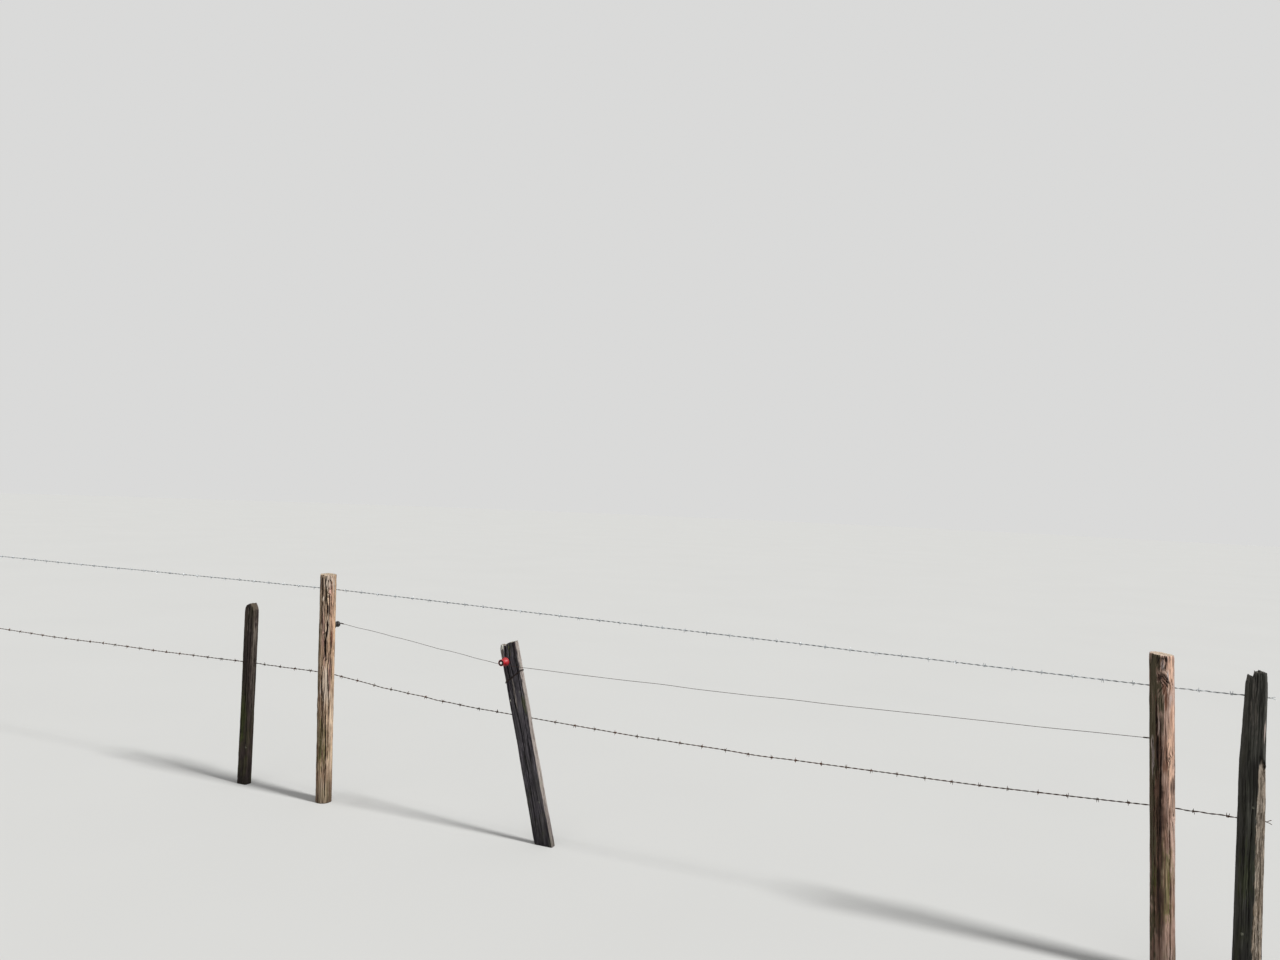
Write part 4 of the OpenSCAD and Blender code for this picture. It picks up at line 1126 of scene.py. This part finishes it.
staple_steel = weathered_zinc("staple_zinc", (158, 160, 158), (120, 118, 112), (96, 62, 42),
                              0.26, 0.6, 0.45, 0.7)
back, outer = np.array([0, 1.0, 0]), np.array([-1.0, 0, 0])


def staple_piece(node, *staples):
    """The staples that stand for one node."""
    name = node.replace("_staple", "_strand_staple")
    fixed_piece(name, staples, "staple_steel", staple_steel, node)


for node in ("top_staple_middle", "top_staple_right", "lower_staple_stake", "lower_staple_middle",
             "lower_staple_stub", "lower_staple_right"):
    staple_piece(node, staple(bearing(node), back, -outer, staple_turn))
apart = np.array([staple_pitch / 2, 0, 0])
for node in ("top_staples_cleft", "lower_staples_cleft"):
    staple_piece(node, *(staple(bearing(node) + side * apart, back, -outer, side * staple_turn)
                         for side in (-1, 1)))
for node in ("top_staple_left", "lower_staple_left"):
    low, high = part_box(node)
    middle = np.array([high.x - strand_reach, 0, (low.z + high.z) / 2])
    staple_piece(node, staple(middle, outer, back, staple_turn))


# Bobbins: moulded plastic reels that keep the electric wire off the wood, wide at the post and narrower
# outside. The stub's is red and faded; those on the backs of the round posts are black.
bobbin_sides = 96
bobbin_profile = [(0, 2.4), (0, 20), (5, 20), (6.2, 17), (18, 10.5), (26, 10.5), (30.4, 14), (33, 15),
                  (38, 15), (38, 12.6), (31, 11.6), (31, 7.4), (37.9, 6.4), (37.9, 2.4)]
nail_profile = [(0, 2.2), (38.2, 2.2), (38.2, 5.5), (39.7, 5.5), (40.5, 4.4), (40.6, 2.0), (40.6, 0.02)]
socket_from, socket_radius = 29, 13.5
mould_seam = 0.00025


def eased(corners, ease, steps=5):
    """A line through corners, with each corner rounded off by up to this much."""
    corners = np.array(corners, float)
    line = [corners[:1]]
    for before, corner, after in zip(corners, corners[1:], corners[2:]):
        ends = [corner + (other - corner) * min(0.45, ease / np.linalg.norm(other - corner))
                for other in (before, after)]
        share = np.linspace(0, 1, steps)[:, None]
        line.append((1 - share) ** 2 * ends[0] + 2 * share * (1 - share) * corner + share ** 2 * ends[1])
    return np.concatenate([*line, corners[-1:]])


def turned(profile, base, outward, seam=0.0):
    """A turned shape on a base, from pairs of distance out and radius in millimetres."""
    along, radius = 0.001 * profile.T
    angle = 2 * np.pi * np.arange(bobbin_sides) / bobbin_sides
    right = unit(np.cross([0, 0, 1.0], outward))
    up = np.cross(outward, right)
    raised = radius[:, None] + seam * (np.abs(np.sin(angle)) < 0.05) * (radius[:, None] > 0.009)
    ring = np.cos(angle)[:, None] * right + np.sin(angle)[:, None] * up
    points = base + along[:, None, None] * outward + raised[:, :, None] * ring
    return points.reshape(-1, 3), strip(len(along), bobbin_sides), np.zeros((0, 3), int)


def sunned_plastic(name, fresh, faded, rough):
    """Moulded plastic, chalky where it faces up, with dirt in patches and painted shade in its hollows."""
    material, tree, shader = new_material(name)
    coordinates = add(tree, "ShaderNodeTexCoord").outputs
    mottle = cloud(tree, coordinates["Object"], 240.0, 4, 0.6)
    facing_up = stretch(tree, height_of(tree, coordinates["Normal"]), -0.3, 0.9)
    chalk = work(tree, "MULTIPLY", facing_up, stretch(tree, mottle, 0.3, 0.7))
    look = blend_colours(tree, chalk, colour(*fresh), colour(*faded))
    dirt = stretch(tree, cloud(tree, coordinates["Object"], 90.0, 5, 0.7), 0.52, 0.75)
    dirt = work(tree, "MULTIPLY", dirt, 0.45)
    # Painted shade in the socket, mottled, taken with the dirt into one dark colour.
    grubby = work(tree, "MULTIPLY", mark_value(tree, "grubby"), stretch(tree, mottle, 0.2, 0.6, 0.6, 1.0))
    look = blend_colours(tree, work(tree, "MAXIMUM", dirt, grubby), look, colour(44, 36, 30))
    join_up(tree, shader, {
        "Base Color": look,
        "Roughness": stretch(tree, chalk, 0, 1, rough, 0.8),
        "Normal": bumped(tree, cloud(tree, coordinates["Object"], 900.0, 2), 0.15, 0.0002)})
    return material


red_plastic = sunned_plastic("red_moulded_plastic", (172, 24, 34), (200, 78, 80), 0.38)
black_plastic = sunned_plastic("black_moulded_plastic", (30, 30, 31), (92, 92, 90), 0.42)
nail_steel = weathered_zinc("nail_zinc", (244, 244, 240), (216, 216, 210), (120, 82, 58),
                            0.10, 0.9, 0.22, 0.42)
bobbin_line = eased(bobbin_profile, 0.9)
nail_line = eased(nail_profile, 0.5)
# The socket round the nail at the reel's outer end is painted dark as shade in the hollow.
in_socket = (bobbin_line[:, 0] > socket_from) & (bobbin_line[:, 1] < socket_radius)
grubby = np.repeat(in_socket, bobbin_sides).astype(float)
bases = {}
for post, outward, material, slot in (("middle", back, black_plastic, "black_plastic"),
                                      ("stub", -back, red_plastic, "red_plastic"),
                                      ("right", back, black_plastic, "black_plastic")):
    low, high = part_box(post + "_bobbin")
    base_y = low.y if outward[1] > 0 else high.y
    bases[post] = base = np.array([(low.x + high.x) / 2, base_y, (low.z + high.z) / 2])
    fixed_piece(post + "_post_reel", [turned(bobbin_line, base, outward, mould_seam)], slot, material,
                post + "_bobbin", grubby=grubby)
    fixed_piece(post + "_reel_nail", [turned(nail_line, base, outward)], "nail_steel", nail_steel,
                post + "_bobbin_nail")


# Electric wire: one thin steel wire, gone brown, that runs over the first reel and under the other two. At
# each end it goes one and a half turns round the reel, and its tail is twisted round the line.
wire_radius = 0.0010
wire_sides = 8
waist_out, waist_radius = 0.022, 0.0105
waist_reach = waist_radius + wire_radius + wire_clearance
reel_turns, reel_drift = 1.5, 0.0033
electric_sag = 0.009
electric_step = 0.012
tail_meets = 0.032
tail_run = 0.020
tail_lay = 0.0030

over_middle = bases["middle"] + np.array([0, waist_out, waist_reach])
under_stub = bases["stub"] + np.array([0, -waist_out, -waist_reach])
under_right = bases["right"] + np.array([0, waist_out, -waist_reach])
electric_line = hung([over_middle, under_stub, under_right], [0.0, electric_sag], electric_step, 401, 0.0022)


def reel_end(line, base, start):
    """The wire round a reel from this angle on, and its tail back to the line and round it."""
    share = np.linspace(0, 1, 50)[:, None]
    angle = start + 2 * reel_turns * np.pi * share
    turn = base + waist_out * back + waist_reach * (np.cos(angle) * -outer + np.sin(angle) * [0, 0, 1.0])
    turn = turn + reel_drift * share * back
    run = np.linalg.norm(line - line[0], axis=1)
    far = np.linspace(tail_meets, tail_meets + tail_run, 60)
    own = np.stack([np.interp(far, run, column) for column in line.T], -1)
    coil = laid_round(own, 2 * wire_radius, tail_lay, 0)
    share = np.linspace(0, 1, 8)[1:-1, None]
    return [turn, np.concatenate([turn[-1] * (1 - share) + coil[0] * share, coil])]


first_turn, first_tail = reel_end(electric_line, bases["middle"], np.pi / 2)
last_turn, last_tail = reel_end(electric_line[::-1], bases["right"], -np.pi / 2)
rusty_wire = weathered_zinc("brown_steel_wire", (104, 96, 90), (72, 63, 57), (60, 42, 34),
                            0.40, 0.35, 0.55, 0.85)
whole_line = np.concatenate([first_turn[:0:-1], electric_line, last_turn[1:]])
electric_parts = [tube(whole_line, wire_radius, wire_sides, back)]
for turn, tail in ((first_turn, first_tail), (last_turn, last_tail)):
    tail_line = np.concatenate([turn[-1:], tail])
    electric_parts.append(tube(tail_line, wire_radius, wire_sides, (0.1, 1, 0.3)))
fixed_piece("thin_electric_wire", electric_parts, "rusty_wire", rusty_wire, "electric_wire")


# Binding: two turns of old wire drawn round the stub on a slant to hold its split, with the ends twisted
# together at the left of its front.
binding_radius = 0.0011
binding_slope = np.tan(np.radians(25.4))
binding_pitch = 0.0024
off_edges, off_faces = 0.0008, 0.0010
twist_across, twist_out = -0.027, -0.0022
twist_run, twist_lay = 0.017, 0.006


def round_stub(angle, turns):
    """Points round the stub's section, rising across it on the binding's slant."""
    a, b = np.cos(angle), np.sin(angle)
    drawn_in = rounded_square(a, b)
    across = (stub_width / 2 + off_edges) * a * drawn_in
    through = stub_thick / 2 + (stub_thick / 2 + off_faces) * b * drawn_in
    return np.stack([across, through, binding_long + binding_slope * across + turns * binding_pitch], -1)


low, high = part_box("stub_binding")
binding_long = (low.z + high.z) / 2 / np.cos(stub_lean)
start_angle = -np.pi / 2 - 0.55
turns = np.linspace(0, 2, 260)
bound = on_stub(round_stub(start_angle + 2 * np.pi * turns, turns - 1))
twist_middle = on_stub(np.array([[twist_across, twist_out, binding_long + binding_slope * twist_across]]))[0]
twist_way = unit(np.array([-0.45, -0.55, -0.75]))
twist_line = twist_middle + np.linspace(0, twist_run, 40)[:, None] * twist_way
twist_wires = [laid_round(twist_line, binding_radius, twist_lay, start, (1, 0, 0)) for start in (0, np.pi)]
binding_parts = [tube(bound, binding_radius, wire_sides, (0.2, 0.1, 1))]
binding_parts += [tube(wire, binding_radius, wire_sides, (1, 0, 0)) for wire in twist_wires]
dark_wire = weathered_zinc("dark_steel_wire", (62, 54, 50), (46, 39, 36), (44, 30, 24), 0.42, 0.3, 0.6, 0.9)
fixed_piece("stub_binding_wire", binding_parts, "rusty_wire", dark_wire, "stub_binding")

# Along the binding the board is painted nearly black: a rust stain where the wire has bitten in, and painted
# contact shadow under the wire
tree, shader, board_look = so_far(stub.data.materials[0])
grain = mark_value(tree, "grain", "Vector")
place = add(tree, "ShaderNodeSeparateXYZ", {0: grain}).outputs
level = work(tree, "MULTIPLY_ADD", place["X"], -binding_slope, place["Z"], clamp=False)
off = work(tree, "SUBTRACT", level, binding_long, clamp=False)
off = work(tree, "ABSOLUTE", off, clamp=False)
rust_stain_and_contact_shade = work(tree, "MULTIPLY", stretch(tree, off, 0.0060, 0.0020),
              stretch(tree, cloud(tree, grain, 140.0), 0.2, 0.5))
join_up(tree, shader, {"Base Color": laid_over(tree, board_look, colour(18, 13, 14), rust_stain_and_contact_shade, 0.9)})


# Studio: a pale level floor that throws little light back up, a soft sun from the right as in the
# photograph, weak light from in front, and a pale surround.
floor_reach, floor_sides, floor_drop = 60.0, 96, 0.0005
pale_surround = (0.70, 0.70, 0.695, 1)
even_light = (0.30, 0.30, 0.305, 1)
photo_lens = 27.15
eye_place = (3.258, -3.8091, 1.5942)
turn_right, tilt_up, roll = (np.radians(degrees) for degrees in (-23.182, 0.657, 2.383))


def only_seen(tree, lit, seen):
    """One colour for the light that falls on the object, and another for what the eye or a mirror sees."""
    rays = add(tree, "ShaderNodeLightPath").outputs
    share = work(tree, "MAXIMUM", rays["Is Camera Ray"], rays["Is Glossy Ray"])
    return blend_colours(tree, work(tree, "MAXIMUM", share, rays["Is Transmission Ray"]), lit, seen)


steps = np.linspace(0, 2 * np.pi, floor_sides, endpoint=False)
rings = [np.stack([reach * np.cos(steps), reach * np.sin(steps), 0 * steps - floor_drop], -1)
         for reach in (floor_reach, 0.3 * floor_reach)]
floor = make_piece("pale_floor", np.concatenate([*rings, [[0, 0, -floor_drop]]]), strip(2, floor_sides),
                   fan(np.arange(floor_sides) + floor_sides, 2 * floor_sides))
floor_material, tree, shader = new_material("pale_floor_paint")
floor_tone = cloud(tree, add(tree, "ShaderNodeTexCoord").outputs["Object"], 0.7, 2)
floor_tone = blend_colours(tree, floor_tone, colour(216, 216, 213), colour(212, 212, 209))
join_up(tree, shader, {
    "Base Color": only_seen(tree, colour(150, 150, 144), floor_tone),
    "Roughness": 0.9,
    "Specular IOR Level": 0.0})
floor.data.materials.append(floor_material)

for name, bearing_degrees, elevation, strength, spread in (("sun_from_the_right", -4, 42, 3.2, 9),
                                                           ("soft_light_in_front", 288, 35, 0.4, 70)):
    lamp = bpy.data.lights.new(name, "SUN")
    lamp.energy, lamp.angle = strength, np.radians(spread)
    holder = bpy.data.objects.new(name, lamp)
    turned_round = Matrix.Rotation(np.radians(bearing_degrees), 4, "Z")
    holder.matrix_world = turned_round @ Matrix.Rotation(np.radians(90 - elevation), 4, "Y")
    bpy.context.scene.collection.objects.link(holder)

world = bpy.data.worlds.new("pale_surround")
bpy.context.scene.world = world
world.use_nodes = True
world.node_tree.links.new(only_seen(world.node_tree, even_light, pale_surround),
                          world.node_tree.nodes["Background"].inputs["Color"])

camera = bpy.data.objects.new("photo_view", bpy.data.cameras.new("photo_view"))
camera.data.lens = photo_lens
camera.matrix_world = (Matrix.Translation(eye_place) @ Matrix.Rotation(-turn_right, 4, "Z")
                       @ Matrix.Rotation(np.pi / 2 + tilt_up, 4, "X") @ Matrix.Rotation(roll, 4, "Z"))
bpy.context.scene.collection.objects.link(camera)
bpy.context.scene.camera = camera
bpy.context.scene.view_settings.view_transform = "Standard"
